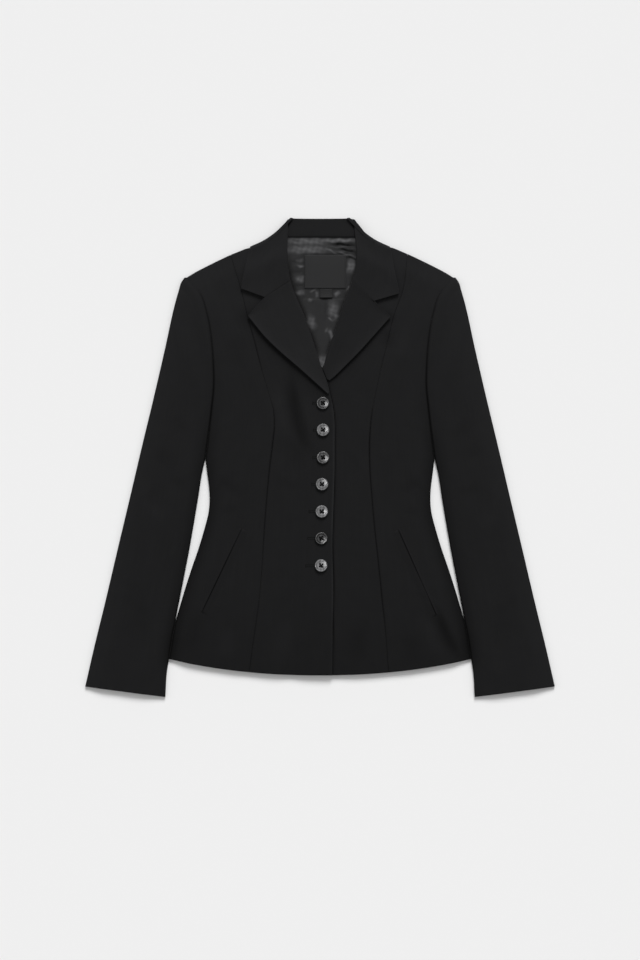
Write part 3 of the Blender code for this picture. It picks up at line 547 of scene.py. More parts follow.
def suitingFinish():
    look = {"dark": (0.0049, 0.0049, 0.0052), "light": (0.0126, 0.0126, 0.0131), "rough": 0.86,
            "specular": 0.08, "sheen": 0.03, "sheenRough": 0.45, "thread": 0.00055, "twill": 0.00105,
            "warpShare": 0.4, "nap": 1400.0, "napShare": 0.45, "cloud": 42.0, "streak": (420.0, 14.0, 1.0),
            "streakShare": 0.45, "patchShare": 0.5, "bump": 0.34, "depth": 0.00016}
    material, shader = startMaterial("blackSuiting", look)
    shader.inputs["Sheen Weight"].default_value = look["sheen"]
    shader.inputs["Sheen Roughness"].default_value = look["sheenRough"]
    place = addNode(material, "ShaderNodeUVMap", uv_map="cloth")
    twill = threadBands(material, look["twill"], "DIAGONAL", {"Distortion": 0.6, "Detail": 1.0})
    warp = threadBands(material, look["thread"], "X", {"Distortion": 0.5, "Detail": 1.0})
    nap = noise(material, look["nap"], {"Detail": 3.0, "Roughness": 0.6})
    cloud = noise(material, look["cloud"], {"Detail": 4.0, "Roughness": 0.62})
    stretch = addNode(material, "ShaderNodeMapping", {"Scale": look["streak"]})
    streak = noise(material, 1.0, {"Detail": 2.0})
    for texture in (twill, warp, nap, cloud, stretch):
        link(material, place.outputs["UV"], texture.inputs["Vector"])
    link(material, stretch.outputs["Vector"], streak.inputs["Vector"])
    weave = blendValues(material, twill.outputs["Fac"], warp.outputs["Fac"], look["warpShare"])
    rough = blendValues(material, weave, nap.outputs["Fac"], look["napShare"])
    patchy = blendValues(material, cloud.outputs["Fac"], streak.outputs["Fac"], look["streakShare"])
    tone = blendValues(material, rough, patchy, look["patchShare"])
    colour = mixColours(material, tone, look["dark"], look["light"])
    link(material, paintedLightColour(material, colour), shader.inputs["Base Color"])
    addBump(material, shader, rough, look)
    return material


def satinFinish():
    look = {"dark": (0.0152, 0.0152, 0.0157), "light": (0.0242, 0.0242, 0.0249), "rough": 0.38,
            "specular": 0.09, "anisotropic": 0.35, "thread": 0.0003, "slub": 420.0, "slubShare": 0.5,
            "cloud": 26.0, "bump": 0.12, "depth": 0.0001}
    material, shader = startMaterial("liningSatin", look)
    shader.inputs["Anisotropic"].default_value = look["anisotropic"]
    place = addNode(material, "ShaderNodeUVMap", uv_map="cloth")
    warp = threadBands(material, look["thread"], "X", {"Distortion": 0.8, "Detail": 1.0})
    slub = noise(material, look["slub"], {"Detail": 2.0})
    cloud = noise(material, look["cloud"], {"Detail": 2.0})
    for texture in (warp, slub, cloud):
        link(material, place.outputs["UV"], texture.inputs["Vector"])
    grain = blendValues(material, warp.outputs["Fac"], slub.outputs["Fac"], look["slubShare"])
    colour = mixColours(material, cloud.outputs["Fac"], look["dark"], look["light"])
    link(material, paintedLightColour(material, colour), shader.inputs["Base Color"])
    addBump(material, shader, grain, look)
    return material


def labelFinish():
    look = {"dark": (0.0128, 0.0128, 0.0132), "light": (0.0248, 0.0248, 0.0254), "rough": 0.58,
            "specular": 0.16, "rib": 0.0007, "thread": 0.0004, "threadShare": 0.5, "bump": 0.3,
            "depth": 0.00014}
    material, shader = startMaterial("wovenLabel", look)
    place = addNode(material, "ShaderNodeUVMap", uv_map="cloth")
    rib = threadBands(material, look["rib"], "Y", {"Distortion": 0.3})
    thread = threadBands(material, look["thread"], "X", {"Distortion": 0.4})
    for texture in (rib, thread):
        link(material, place.outputs["UV"], texture.inputs["Vector"])
    weave = blendValues(material, rib.outputs["Fac"], thread.outputs["Fac"], look["threadShare"])
    colour = mixColours(material, weave, look["dark"], look["light"])
    link(material, paintedLightColour(material, colour), shader.inputs["Base Color"])
    addBump(material, shader, weave, look)
    return material


def hornFinish():
    look = {"dark": (0.034, 0.034, 0.035), "light": (0.200, 0.200, 0.203), "rough": 0.2, "specular": 0.55,
            "anisotropic": 0.8, "cloud": 170.0, "streak": 60.0, "streakShare": 0.35, "wear": 900.0,
            "bump": 0.1, "depth": 0.00008}
    material, shader = startMaterial("smokedHorn", look)
    shader.inputs["Anisotropic"].default_value = look["anisotropic"]
    place = addNode(material, "ShaderNodeTexCoord")
    cloud = noise(material, look["cloud"], {"Detail": 4.0, "Distortion": 1.6})
    streak = addNode(material, "ShaderNodeTexWave",
                     {"Scale": look["streak"], "Distortion": 6.0, "Detail": 3.0})
    wear = noise(material, look["wear"], {"Detail": 3.0})
    for texture in (cloud, streak, wear):
        link(material, place.outputs["Object"], texture.inputs["Vector"])
    marbled = blendValues(material, cloud.outputs["Fac"], streak.outputs["Fac"], look["streakShare"])
    colour = mixColours(material, marbled, look["dark"], look["light"])
    link(material, paintedLightColour(material, colour), shader.inputs["Base Color"])
    addBump(material, shader, wear.outputs["Fac"], look)
    # the gloss runs round the button, which is turned on a lathe
    turned = addNode(material, "ShaderNodeTangent", direction_type="RADIAL", axis="Z")
    link(material, turned.outputs["Tangent"], shader.inputs["Tangent"])
    return material


def threadFinish(name, dark, light):
    look = {"dark": (dark,) * 3, "light": (light,) * 3, "rough": 0.72, "specular": 0.1, "ply": 2600.0,
            "bump": 0.4, "depth": 0.00006}
    material, shader = startMaterial(name, look)
    place = addNode(material, "ShaderNodeTexCoord")
    ply = noise(material, look["ply"], {"Detail": 2.0})
    link(material, place.outputs["Object"], ply.inputs["Vector"])
    colour = mixColours(material, ply.outputs["Fac"], look["dark"], look["light"])
    link(material, colour, shader.inputs["Base Color"])
    addBump(material, shader, ply.outputs["Fac"], look)
    return material


suiting = suitingFinish()
satin = satinFinish()
wovenLabel = labelFinish()
horn = hornFinish()
thread = threadFinish("blackThread", 0.0014, 0.004)
twist = threadFinish("buttonholeTwist", 0.0052, 0.0098)
print("finishes made")


# Body panels
# painted shade and light: the seam, closing and lapel entries paint shade, the crease entry paints folds
# darker in troughs and lighter on ridges, and the arm reaches spread the painted shade at the armhole
body = {"rowStep": 2.6, "columnStep": 2.6, "backStep": 6.0, "length": 570.0, "typicalWidth": 95.0,
        "backWidth": 180.0, "armGrade": 1.5, "princessGroove": 0.75, "hemRadius": 1.1, "armGroove": 0.9,
        "armDeep": 1.3, "armLow": (170.0, 150.0), "armTop": (241.0, 28.0), "seamShade": (-0.45, 1.1),
        "armReach": (1.6, 11.0), "closingReach": 2.2, "closingShadow": (-0.9, 1.6), "underTop": (12.0, 20.0),
        "creaseShade": 0.19, "lapelShade": {"right": (-0.3, 12.0), "left": (-0.2, 8.0)},
        "lapelShadeSteps": 60}
# painted shade at the armhole and side edges, in the seam itself and in the roll beside it: how much darker
# the cloth is painted
armShade = smoothTable(("y", "seam", "roll"), (
    (255.5, 0.0, 0.0), (240.0, -0.05, 0.0), (228.0, -0.3, 0.0), (205.0, -0.5, 0.0), (180.0, -0.6, -0.03),
    (137.0, -0.75, -0.07), (94.0, -0.85, -0.1), (51.0, -0.92, -0.2), (8.0, -0.92, -0.45),
    (-10.0, -0.7, -0.48), (-40.0, -0.45, -0.42), (-120.0, -0.42, -0.4), (-200.0, -0.5, -0.42),
    (-235.0, -0.85, -0.48), (-290.5, -0.9, -0.45), (-306.0, -0.3, -0.18), (-345.0, -0.1, -0.05)))
# painted highlight along the edge of the closing, lightest at the waist
closingHighlight = smoothTable(("y", "edge"), (
    (125.0, 0.3), (57.0, 0.45), (30.0, 0.65), (-30.0, 0.75), (-97.0, 0.75), (-120.0, 0.4), (-140.0, 0.3),
    (-166.0, 0.55), (-200.0, 0.6), (-234.0, 0.3), (-313.8, 0.22)))
# painted light: the cloth is painted lighter at the shoulders than at the hem, as the light falls off down
# the garment
paintedLightFalloff = smoothTable(("y", "body", "sleeve"), (
    (300.0, 0.33, 0.32), (252.0, 0.3, 0.29), (190.0, 0.16, 0.14), (130.0, 0.08, 0.1), (0.0, 0.04, 0.07),
    (-60.0, 0.02, 0.04), (-120.0, 0.0, 0.0), (-200.0, -0.05, 0.0), (-266.0, -0.14, 0.0),
    (-345.0, -0.17, -0.01)))


def rowShares(step):
    return spacing(body["length"], step)


def bodyStation(v):
    tip, underarm, hem = draft["shoulderTipY"], draft["underarmY"], draft["hemSideY"]
    upper = tip + (underarm - tip) * np.clip(2.0 * v, 0.0, 1.0) ** body["armGrade"]
    return np.where(v <= 0.5, upper, underarm + (hem - underarm) * (2.0 * v - 1.0))


def planPatch(inner, outer, topLine, bottomLine, shares, v):
    width = (outer - inner)[:, None]
    line = inner[:, None] + shares[..., None] * width
    fade = v[:, None, None]

    def bow(edge):
        start, end = edge(np.zeros(1))[0], edge(np.ones(1))[0]
        return edge(shares) - (start + shares[..., None] * (end - start))

    return line + (1.0 - fade) ** 3 * bow(topLine) + fade ** 3 * bow(bottomLine)


def pointsOf(x, y):
    return np.stack(np.broadcast_arrays(np.asarray(x, float), np.asarray(y, float)), axis=-1)


def straightLine(start, end):
    return lambda share: start + np.asarray(share)[..., None] * (end - start)


def curvedLine(startX, endX, height):
    def line(share):
        x = startX + np.asarray(share) * (endX - startX)
        return pointsOf(x, height(x))
    return line


def shoulderY(x):
    return shoulder("y", np.abs(x))


def bodyPatch(inner, outer, shares, v):
    shoulderLine = curvedLine(inner[0, 0], outer[0, 0], shoulderY)
    hem = curvedLine(inner[-1, 0], outer[-1, 0], hemY)
    return planPatch(inner, outer, shoulderLine, hem, shares, v)


def straightPatch(inner, outer, shares, v):
    topLine = straightLine(inner[0], outer[0])
    return planPatch(inner, outer, topLine, straightLine(inner[-1], outer[-1]), shares, v)


def princessLine(side, sideName, v):
    shoulderX, hemX = princessEnds[sideName]
    top, bottom = shoulder("y", shoulderX), hemY(hemX)
    y = top + (bottom - top) * v
    return pointsOf(side * princess(sideName, y), y)


def bodyOuter(side, v):
    y = bodyStation(v)
    return pointsOf(side * (bodyEdge(y) - cloth["armGap"]), y)


def joinedShare(y):
    return ease(y / cloth["joinRun"])[:, None]


def armDepth(y):
    (lowY, lowRun), (topY, topRun) = body["armLow"], body["armTop"]
    depth = body["armGroove"] + body["armDeep"] * ease((lowY - y) / lowRun)
    return (ease((topY - y) / topRun) * depth)[:, None]


def armShadeEdges(edge, y):
    # painted shade at the armhole: narrow in the seam, wide in the roll beside it
    nearReach, rollReach = body["armReach"]
    return ((edge, armShade("seam", y)[:, None], nearReach), (edge, armShade("roll", y)[:, None], rollReach))


# how strongly a princess seam draws the cloth in, from shoulder to hem; it sets both the groove and the
# painted shade along it
princessPull = smoothTable(("y", "right", "left"), (
    (290.0, 0.15, 0.1), (262.0, 0.2, 0.12), (240.0, 0.4, 0.4), (200.0, 0.5, 0.42), (172.0, 0.75, 0.35),
    (140.0, 0.85, 0.28), (122.0, 0.3, 0.16), (100.0, 0.1, 0.12), (76.0, 0.1, 0.15), (63.0, 0.7, 0.6),
    (50.0, 1.0, 1.0), (-40.0, 1.0, 1.05), (-100.0, 0.85, 1.0), (-127.0, 0.7, 1.0), (-160.0, 0.35, 1.0),
    (-200.0, 0.3, 1.0), (-222.0, 0.4, 0.9), (-250.0, 0.45, 0.5), (-315.0, 0.3, 0.35)))


def princessShade(sideName, y):
    # painted shade along the princess seam
    amount, reach = body["seamShade"]
    return amount * princessPull(sideName, y)[:, None], reach


def shadowBesideClosing(sideName, x, y):
    # painted shadow: the left front is painted darker just beside the edge that laps over it
    if sideName == "right":
        return 0.0
    amount, reach = body["closingShadow"]
    drop, run = body["underTop"]
    away = x - closing("right", y)
    return amount * np.exp(-(away / reach) ** 2) * ease((draft["pointY"] - drop - y) / run)


def lapelShadow(sideName, x, y):
    # painted shadow: the front is painted darker along the lapel that stands over it
    amount, reach = body["lapelShade"][sideName]
    rows = np.linspace(0.0, lapelEndRow, body["lapelShadeSteps"])
    away = np.full(x.shape, np.inf)
    for edgeX, edgeY in zip(lapelEdge[sideName]("outerX", rows), lapelEdge[sideName]("outerY", rows)):
        away = np.minimum(away, np.hypot(x - edgeX, y - edgeY))
    return amount * np.exp(-(away / reach) ** 2)


def frontPaintedLight(sideName, x, y):
    # painted shade and light of the fronts: fold troughs darker and ridges lighter, the light falloff down
    # the garment, and the painted shadows beside the closing and under the lapel
    folds = body["creaseShade"] * creaseHeight(x, y, frontCreases)
    return folds + paintedLightFalloff("body", y) + shadowBesideClosing(sideName, x, y) + lapelShadow(sideName, x, y)


def widthOf(inner, outer):
    return np.linalg.norm(outer - inner, axis=-1)


def makeSideFront(side, sideName):
    v = rowShares(body["rowStep"])
    inner = princessLine(side, sideName, v) + (side * 0.5 * cloth["seam"], 0.0)
    outer = bodyOuter(side, v)
    shares = acrossShares(widthOf(inner, outer), body["typicalWidth"], body["columnStep"])
    plan = bodyPatch(inner, outer, shares, v)
    low = frontLow(sideName, plan[..., 0], plan[..., 1])
    joined = joinedShare(outer[:, 1])
    groove = body["princessGroove"] * princessPull(sideName, inner[:, 1])[:, None]
    edges = (("inner", "seam", groove, 1.0), ("outer", "seam", armDepth(outer[:, 1]), joined),
             ("outer", "over", cloth["wall"], 1.0 - joined), ("top", "over", cloth["wall"], 1.0),
             ("bottom", "nose", body["hemRadius"], 1.0))
    # painted shade along the princess seam and at the armhole
    paintedEdges = (("inner", *princessShade(sideName, inner[:, 1])), *armShadeEdges("outer", outer[:, 1]))
    layShell("side_front_" + sideName, plan, low, cloth["wall"], edges, suiting,
             paintedEdges, frontPaintedLight(sideName, plan[..., 0], plan[..., 1]))


def makeFront(side, sideName):
    v = rowShares(body["rowStep"])
    outer = princessLine(side, sideName, v) - (side * 0.5 * cloth["seam"], 0.0)
    edgeX = float(frontEdge(sideName, np.array(draft["hemCentreY"])))
    top, bottom = shoulder("y", draft["neckHalf"]), hemY(edgeX)
    innerY = top + (bottom - top) * v
    inner = pointsOf(frontEdge(sideName, innerY), innerY)
    shares = acrossShares(widthOf(inner, outer), body["typicalWidth"], body["columnStep"])
    plan = bodyPatch(inner, outer, shares, v)
    low = frontLow(sideName, plan[..., 0], plan[..., 1])
    groove = body["princessGroove"] * princessPull(sideName, outer[:, 1])[:, None]
    edges = (("inner", "nose", body["hemRadius"], 1.0), ("outer", "seam", groove, 1.0),
             ("top", "over", cloth["wall"], 1.0), ("bottom", "nose", body["hemRadius"], 1.0))
    # painted highlight along the closing edge and painted shade along the princess seam
    paintedEdges = (("inner", closingHighlight("edge", innerY)[:, None], body["closingReach"]),
               ("outer", *princessShade(sideName, outer[:, 1])))
    layShell("front_" + sideName, plan, low, cloth["wall"], edges, suiting, paintedEdges,
             frontPaintedLight(sideName, plan[..., 0], plan[..., 1]))


def makeBack(side, sideName):
    v = rowShares(body["backStep"])
    outer = bodyOuter(side, v)
    top, bottom = shoulder("y", draft["neckHalf"]), hemY(0.0)
    inner = pointsOf(side * 0.5 * cloth["seam"], top + (bottom - top) * v)
    shares = acrossShares(widthOf(inner, outer), body["backWidth"], body["backStep"])
    plan = bodyPatch(inner, outer, shares, v)
    low = backLow(plan[..., 0], plan[..., 1])
    joined = joinedShare(outer[:, 1])
    edges = (("outer", "under", cloth["wall"], 1.0 - joined), ("top", "under", cloth["wall"], 1.0),
             ("bottom", "nose", body["hemRadius"], 1.0))
    layShell("back_" + sideName, plan, low, cloth["wall"], edges, suiting)


for side, sideName in sides:
    makeBack(side, sideName)
    makeFront(side, sideName)
    makeSideFront(side, sideName)
print("body panels made")

# Sleeves
# the outer entry paints a highlight along the sleeve's outer edge
sleeve = {"rowStep": 2.6, "columnStep": 2.6, "underStep": 6.0, "length": 600.0, "typicalWidth": 95.0,
          "capShare": 11.0 / 23.0, "hindGrade": 1.12, "outerHighlight": (0.16, 16.0), "headRoll": 0.7,
          "headPlace": 8.0, "headWidth": 6.0, "headY": 70.0, "headRun": 90.0}


def sleeveEdges(side, v):
    tip, underarm = draft["shoulderTipY"], draft["underarmY"]
    cap = sleeve["capShare"]
    upper = tip + (underarm - tip) * np.clip(v / cap, 0.0, 1.0) ** body["armGrade"]
    lower = underarm + (draft["cuffInnerY"] - underarm) * (v - cap) / (1.0 - cap)
    foreY = np.where(v <= cap, upper, lower)
    hindY = tip + (draft["cuffOuterY"] - tip) * v ** sleeve["hindGrade"]
    fore = pointsOf(side * (sleeveForeEdge(foreY) + cloth["armGap"]), foreY)
    return fore, pointsOf(side * sleeveHind("x", hindY), hindY)


def sleevePlan(side, rowStep, columnStep):
    v = spacing(sleeve["length"], rowStep)
    fore, hind = sleeveEdges(side, v)
    shares = acrossShares(widthOf(fore, hind), sleeve["typicalWidth"], columnStep)
    return straightPatch(fore, hind, shares, v), fore[:, 1]


def makeSleeve(side, sideName):
    plan, foreY = sleevePlan(side, sleeve["rowStep"], sleeve["columnStep"])
    low = sleeveLow(plan[..., 0], plan[..., 1])
    fromSeam = runs(plan)["inner"]
    roll = sleeve["headRoll"] * ease((plan[..., 1] - sleeve["headY"]) / sleeve["headRun"])
    low = low + roll * np.exp(-((fromSeam - sleeve["headPlace"]) / sleeve["headWidth"]) ** 2)
    joined = joinedShare(foreY)
    edges = (("inner", "seam", armDepth(foreY), joined), ("inner", "over", cloth["wall"], 1.0 - joined),
             ("outer", "over", cloth["wall"], 1.0), ("top", "over", cloth["wall"], 1.0),
             ("bottom", "nose", body["hemRadius"], 1.0))
    # painted light of the top sleeve: fold troughs darker and ridges lighter, the light falloff, painted
    # shade at the armhole and a painted highlight along the outer edge
    folds = body["creaseShade"] * creaseHeight(plan[..., 0], plan[..., 1], sleeveCreases)
    paintedEdges = (*armShadeEdges("inner", foreY), ("outer", *sleeve["outerHighlight"]))
    layShell("top_sleeve_" + sideName, plan, low, cloth["wall"], edges, suiting,
             paintedEdges, folds + paintedLightFalloff("sleeve", plan[..., 1]))
    plan, foreY = sleevePlan(side, sleeve["underStep"], sleeve["underStep"])
    joined = joinedShare(foreY)
    edges = (("inner", "under", cloth["wall"], 1.0 - joined), ("outer", "under", cloth["wall"], 1.0),
             ("bottom", "nose", body["hemRadius"], 1.0))
    flat = np.zeros(plan.shape[:2])
    layShell("under_sleeve_" + sideName, plan, flat, cloth["wall"], edges, suiting)


for side, sideName in sides:
    makeSleeve(side, sideName)
print("sleeves made")

# Lapels
# painted light: the lapels are painted lighter than the fronts, with painted highlights along the rim and
# edge and painted shade at the point and along the gorge
lapel = {"rows": 84, "gorgeRows": 14, "gorgeRim": 0.16, "columns": 34, "lipColumns": 12, "rimRoom": 2.5,
         "gorgeY": 251.0, "gorgeGap": 0.08, "notch": {"right": (-79.2, 226.4), "left": (77.2, 221.0)},
         "standOff": {"right": 2.8, "left": 2.4}, "standWidth": 45.0, "standPower": 0.7, "sharePower": 1.5,
         "edgeRadius": 1.2, "pointNose": 0.4, "pointRows": 3.0, "pointShade": -0.35,
         "rimHighlight": (0.45, 1.4), "edgeHighlight": (0.24, 8.0), "gorgeGroove": {"right": 0.35, "left": 0.14},
         "gorgeShade": {"right": (-0.24, 0.9), "left": (-0.08, 0.9)}, "tone": {"right": 0.3, "left": 0.16}}
lipShape = smoothTable(("step", "flat", "turned", "drop"), (
    (0.0, 0.2, 1.2, 3.2), (1.0, 1.1, 1.2, 2.4), (2.0, 2.1, 1.9, 0.7), (3.0, 3.6, 3.6, 0.0)))
lipEnd = 3.0


def turnedReach(width, lipShare):
    # distances from the roll line of the points along one row, from the rolled lip to the outer edge
    room = min(1.0, width / lipRoom["width"])
    steps = np.linspace(0.0, lipEnd, lapel["lipColumns"] + 1)
    flat = lipShape("flat", steps)
    lip = (flat + lipShare * (lipShape("turned", steps) - flat)) * room
    start = float(lipShape("flat", lipEnd)) * room
    rest = width - start
    rim = rimSteps * min(1.0, rest / (lapel["rimRoom"] * rimSteps[-1]))
    middle = start + np.linspace(0.0, rest - rim[-1], lapel["columns"] + 1)[1:]
    drop = np.concatenate((lipShare * lipShape("drop", steps), np.zeros(len(middle) + len(rim) - 1)))
    return np.concatenate((lip, middle, width - rim[-2::-1])), drop, start


def turnedRow(start, end, lipShare, height):
    start = np.asarray(start, float)
    end = np.asarray(end, float)
    width = np.hypot(*(end - start))
    reach, drop, level = turnedReach(width, lipShare)
    plan = start + (reach / width)[:, None] * (end - start)
    above = np.maximum(reach, level)
    abovePlan = start + (above / width)[:, None] * (end - start)
    z = height(abovePlan[:, 0], abovePlan[:, 1], above / width, width) - drop
    return np.concatenate((plan, z[:, None]), axis=-1)


def turnedHeight(sideName, standOff):
    def height(x, y, share, width):
        narrow = min(1.0, width / lapel["standWidth"]) ** lapel["standPower"]
        stand = standOff * narrow * share ** lapel["sharePower"]
        return frontTop(sideName, x, y) + cloth["lay"] + 0.5 * cloth["turned"] + stand
    return height


def lapelInner(sideName, y):
    if y >= draft["pointY"]:
        return np.array((float(rollLine(sideName, y)), y))
    clear = 0.0 if sideName == "right" else cloth["lay"]
    return np.array((float(closing("right", y)) + clear, y))


def gorgeLine(sideName):
    roll = np.array((float(rollLine(sideName, lapel["gorgeY"])), lapel["gorgeY"]))
    return roll, np.array(lapel["notch"][sideName])


def acrossSeam(start, end, amount):
    dx, dy = end - start
    across = np.array((-dy, dx)) / np.hypot(dx, dy)
    return across * math.copysign(amount, amount * across[1])


def edgeShares(rim, count):
    # shares from 0 up to 1, close together next to 0
    return np.concatenate((rimSteps[:-1] / rimSteps[-1] * rim, np.linspace(rim, 1.0, count)[:-1]))


def makeLapel(sideName):
    height = turnedHeight(sideName, lapel["standOff"][sideName])
    edge = lapelEdge[sideName]
    roll, notch = gorgeLine(sideName)
    gap = acrossSeam(roll, notch, -0.5 * lapel["gorgeGap"])
    first = np.array((float(edge("outerX", 0.0)), float(edge("outerY", 0.0))))
    rows = []
    gorgeTop = lapel["gorgeY"] + gap[1]
    gorgeShares = edgeShares(lapel["gorgeRim"], lapel["gorgeRows"])
    for share in gorgeShares:
        rollY = gorgeTop + share * (float(edge("rollY", 0.0)) - gorgeTop)
        outer = notch + gap + share * (first - notch - gap)
        rows.append(turnedRow(lapelInner(sideName, rollY), outer, 1.0, height))
    for row in np.linspace(0.0, lapelEndRow, lapel["rows"]):
        rollY = float(edge("rollY", row))
        lipShare = float(ease((rollY - draft["pointY"]) / lipRoom["fade"]))
        outer = (float(edge("outerX", row)), float(edge("outerY", row)))
        rows.append(turnedRow(lapelInner(sideName, rollY), outer, lipShare, height))
    lower = ease((np.arange(len(rows))[:, None] - len(gorgeShares) + 1.0) / lapel["pointRows"])
    nose = lapel["pointNose"] + (1.0 - lapel["pointNose"]) * lower
    radius = lapel["edgeRadius"]
    edges = (("top", "seam", lapel["gorgeGroove"][sideName], 1.0), ("inner", "nose", radius, 1.0),
             ("outer", "nose", radius, nose), ("bottom", "nose", radius, 1.0))
    # painted highlight along the outer and lower edges, painted shade at the point and along the gorge; the
    # whole lapel is painted lighter too
    rim, rimReach = lapel["rimHighlight"]
    soft, softReach = lapel["edgeHighlight"]
    outerRim = rim * lower + lapel["pointShade"] * (1.0 - lower)
    paintedEdges = (("outer", outerRim, rimReach), ("bottom", rim, rimReach), ("outer", soft * lower, softReach),
               ("top", *lapel["gorgeShade"][sideName]))
    turnShell("lapel_" + sideName, np.array(rows), cloth["turned"], edges, suiting,
              paintedEdges, lapel["tone"][sideName])


for side, sideName in sides:
    makeLapel(sideName)
print("lapels made")

# Collar: its fall turns over the shoulders and lies behind the neck
# painted light: the fall and stand are painted lighter than the fronts, with painted shade along the
# stand's top and bottom edges and along the gorge seams
collar = {"tip": {"right": (-113.0, 238.8), "left": (113.0, 231.5)}, "tipShare": 0.25, "rows": 44,
          "rowRim": 0.05, "turnRows": 14, "backRows": 20, "backDepth": 48.0, "backHollow": 2,
          "standOff": 1.8, "lipTopY": 312.0, "lipRun": 40.0, "blendY": 285.0, "tone": 0.31,
          "standHalf": 40.0, "standFlare": {"right": 11.5, "left": 16.5}, "standRise": 1.0,
          "standStep": 2.4, "standHollow": 0.7, "standLight": 0.14, "standGroove": 0.8,
          "standShade": {"top": (-0.5, 0.8), "bottom": (-0.5, 1.2)}}
collarEdge = smoothTable(("y", "right", "left"), (
    (231.5, -114.0, 113.0), (238.8, -113.0, 112.2), (252.0, -110.6, 109.4),
    (268.0, -107.6, 106.0), (282.0, -105.0, 103.6), (295.5, -101.6, 101.6)))
collarShoulder = smoothTable(("share", "x", "y", "foldAngle"), (
    (0.0, 42.2, 341.0, 8.0), (0.11, 49.2, 334.6, 36.0), (0.34, 61.5, 322.4, 50.0),
    (0.62, 77.0, 310.8, 64.0), (1.0, 99.6, 299.5, 108.0)))
collarFoldZ = smoothTable(("share", "z"), ((0.0, 6.8), (0.25, 7.9), (0.5, 8.9), (1.0, 9.0)))


def collarTurn(side, reach):
    silhouette = pointsOf(side * collarShoulder("x", reach), collarShoulder("y", reach))
    angle = np.radians(collarShoulder("foldAngle", reach))
    across = np.stack((side * np.cos(angle), np.sin(angle)), axis=-1)
    backZ = 0.5 * cloth["wall"]
    radius = 0.5 * (collarFoldZ("z", reach) - backZ)
    centre = silhouette - across * (radius + 0.5 * cloth["wall"])[:, None]
    rows = []
    for turn in np.linspace(0.0, math.pi, collar["turnRows"]):
        plan = centre + across * (radius * math.sin(turn))[:, None]
        rows.append(np.concatenate((plan, (backZ + radius * (1.0 + math.cos(turn)))[:, None]), axis=-1))
    return rows


def collarFront(sideName, fold, reach):
    height = turnedHeight(sideName, collar["standOff"])
    roll, notch = gorgeLine(sideName)
    gap = acrossSeam(roll, notch, 0.5 * lapel["gorgeGap"])
    tip = np.array(collar["tip"][sideName])
    rollTop, edgeTop = fold[0, :2], fold[-1, :2]
    sag = fold[:, :2] - straightLine(rollTop, edgeTop)(reach)
    start = lapel["gorgeY"] + gap[1]
    rows = []
    for share in edgeShares(collar["rowRim"], collar["rows"]):
        y = start + share * (rollTop[1] - start)
        if share < collar["tipShare"]:
            outer = notch + gap + share / collar["tipShare"] * (tip - notch - gap)
        else:
            past = (share - collar["tipShare"]) / (1.0 - collar["tipShare"])
            edgeY = tip[1] + past * (edgeTop[1] - tip[1])
            outer = np.array((float(collarEdge(sideName, edgeY)), edgeY))
        lipShare = float(ease((collar["lipTopY"] - y) / collar["lipRun"]))
        row = turnedRow((float(rollLine(sideName, y)), y), outer, lipShare, height)
        blend = ease((y - collar["blendY"]) / (rollTop[1] - collar["blendY"]))
        row[:, :2] += blend * sag
        row[:, 2] += blend * (fold[:, 2] - row[:, 2])
        rows.append(row)
    return rows


def makeCollarFall():
    halves = {}
    for side, sideName in sides:
        both = np.array((0.0, 1.0))
        ends = pointsOf(side * collarShoulder("x", both), collarShoulder("y", both))
        width = np.hypot(*(ends[1] - ends[0]))
        reach = turnedReach(width, 0.0)[0] / width
        turn = collarTurn(side, reach)
        halves[sideName] = collarFront(sideName, turn[0], reach) + turn
    rightEnd, leftEnd = halves["right"][-1], halves["left"][-1]
    back = []
    for share in np.linspace(0.0, 1.0, collar["backRows"])[1:-1]:
        row = rightEnd + share * (leftEnd - rightEnd)
        middle = draft["collarTopY"] - collar["backDepth"] * reach
        row[:, 1] = middle + (2.0 * share - 1.0) ** collar["backHollow"] * (row[:, 1] - middle)
        back.append(row)
    rows = np.array(halves["right"] + back + halves["left"][::-1])
    groove, paintedLightAndTone = lapel["gorgeGroove"], lapel["gorgeShade"]
    edges = (("top", "seam", groove["right"], 1.0), ("bottom", "seam", groove["left"], 1.0),
             ("inner", "nose", lapel["edgeRadius"], 1.0), ("outer", "nose", lapel["edgeRadius"], 1.0))
    # painted shade along the gorge seams
    paintedEdges = (("top", *paintedLightAndTone["right"]), ("bottom", *paintedLightAndTone["left"]))
    turnShell("collar_fall", rows, cloth["wall"], edges, suiting,
              paintedEdges, collar["tone"])


def makeCollarStand():
    topY = draft["collarTopY"] - cloth["lay"]
    bottomY = draft["neckY"] + 0.5 * cloth["seam"]
    v = spacing(topY - bottomY, collar["standStep"])
    y = topY + (bottomY - topY) * v
    inner = pointsOf(-collar["standHalf"] - collar["standFlare"]["right"] * v, y)
    outer = pointsOf(collar["standHalf"] + collar["standFlare"]["left"] * v, y)
    shares = acrossShares(widthOf(inner, outer), 2.0 * collar["standHalf"], collar["standStep"])
    plan = straightPatch(inner, outer, shares, v)
    plan[..., 1] += collar["standHollow"] * (1.0 - v[:, None]) ** 3 * (2.0 * shares - 1.0) ** 2
    rise = collar["standRise"] * ease((topY - plan[..., 1]) / (topY - bottomY))
    low = cloth["wall"] + cloth["seam"] + rise
    edges = (("top", "over", cloth["wall"], 1.0), ("bottom", "seam", collar["standGroove"], 1.0))
    # painted shade along the stand's top and bottom edges
    paintedEdges = tuple((edge, *paintedLightAndTone) for edge, paintedLightAndTone in collar["standShade"].items())
    layShell("collar_stand", plan, low, cloth["wall"], edges, suiting, paintedEdges,
             collar["standLight"])


makeCollarFall()
makeCollarStand()
print("collar made")

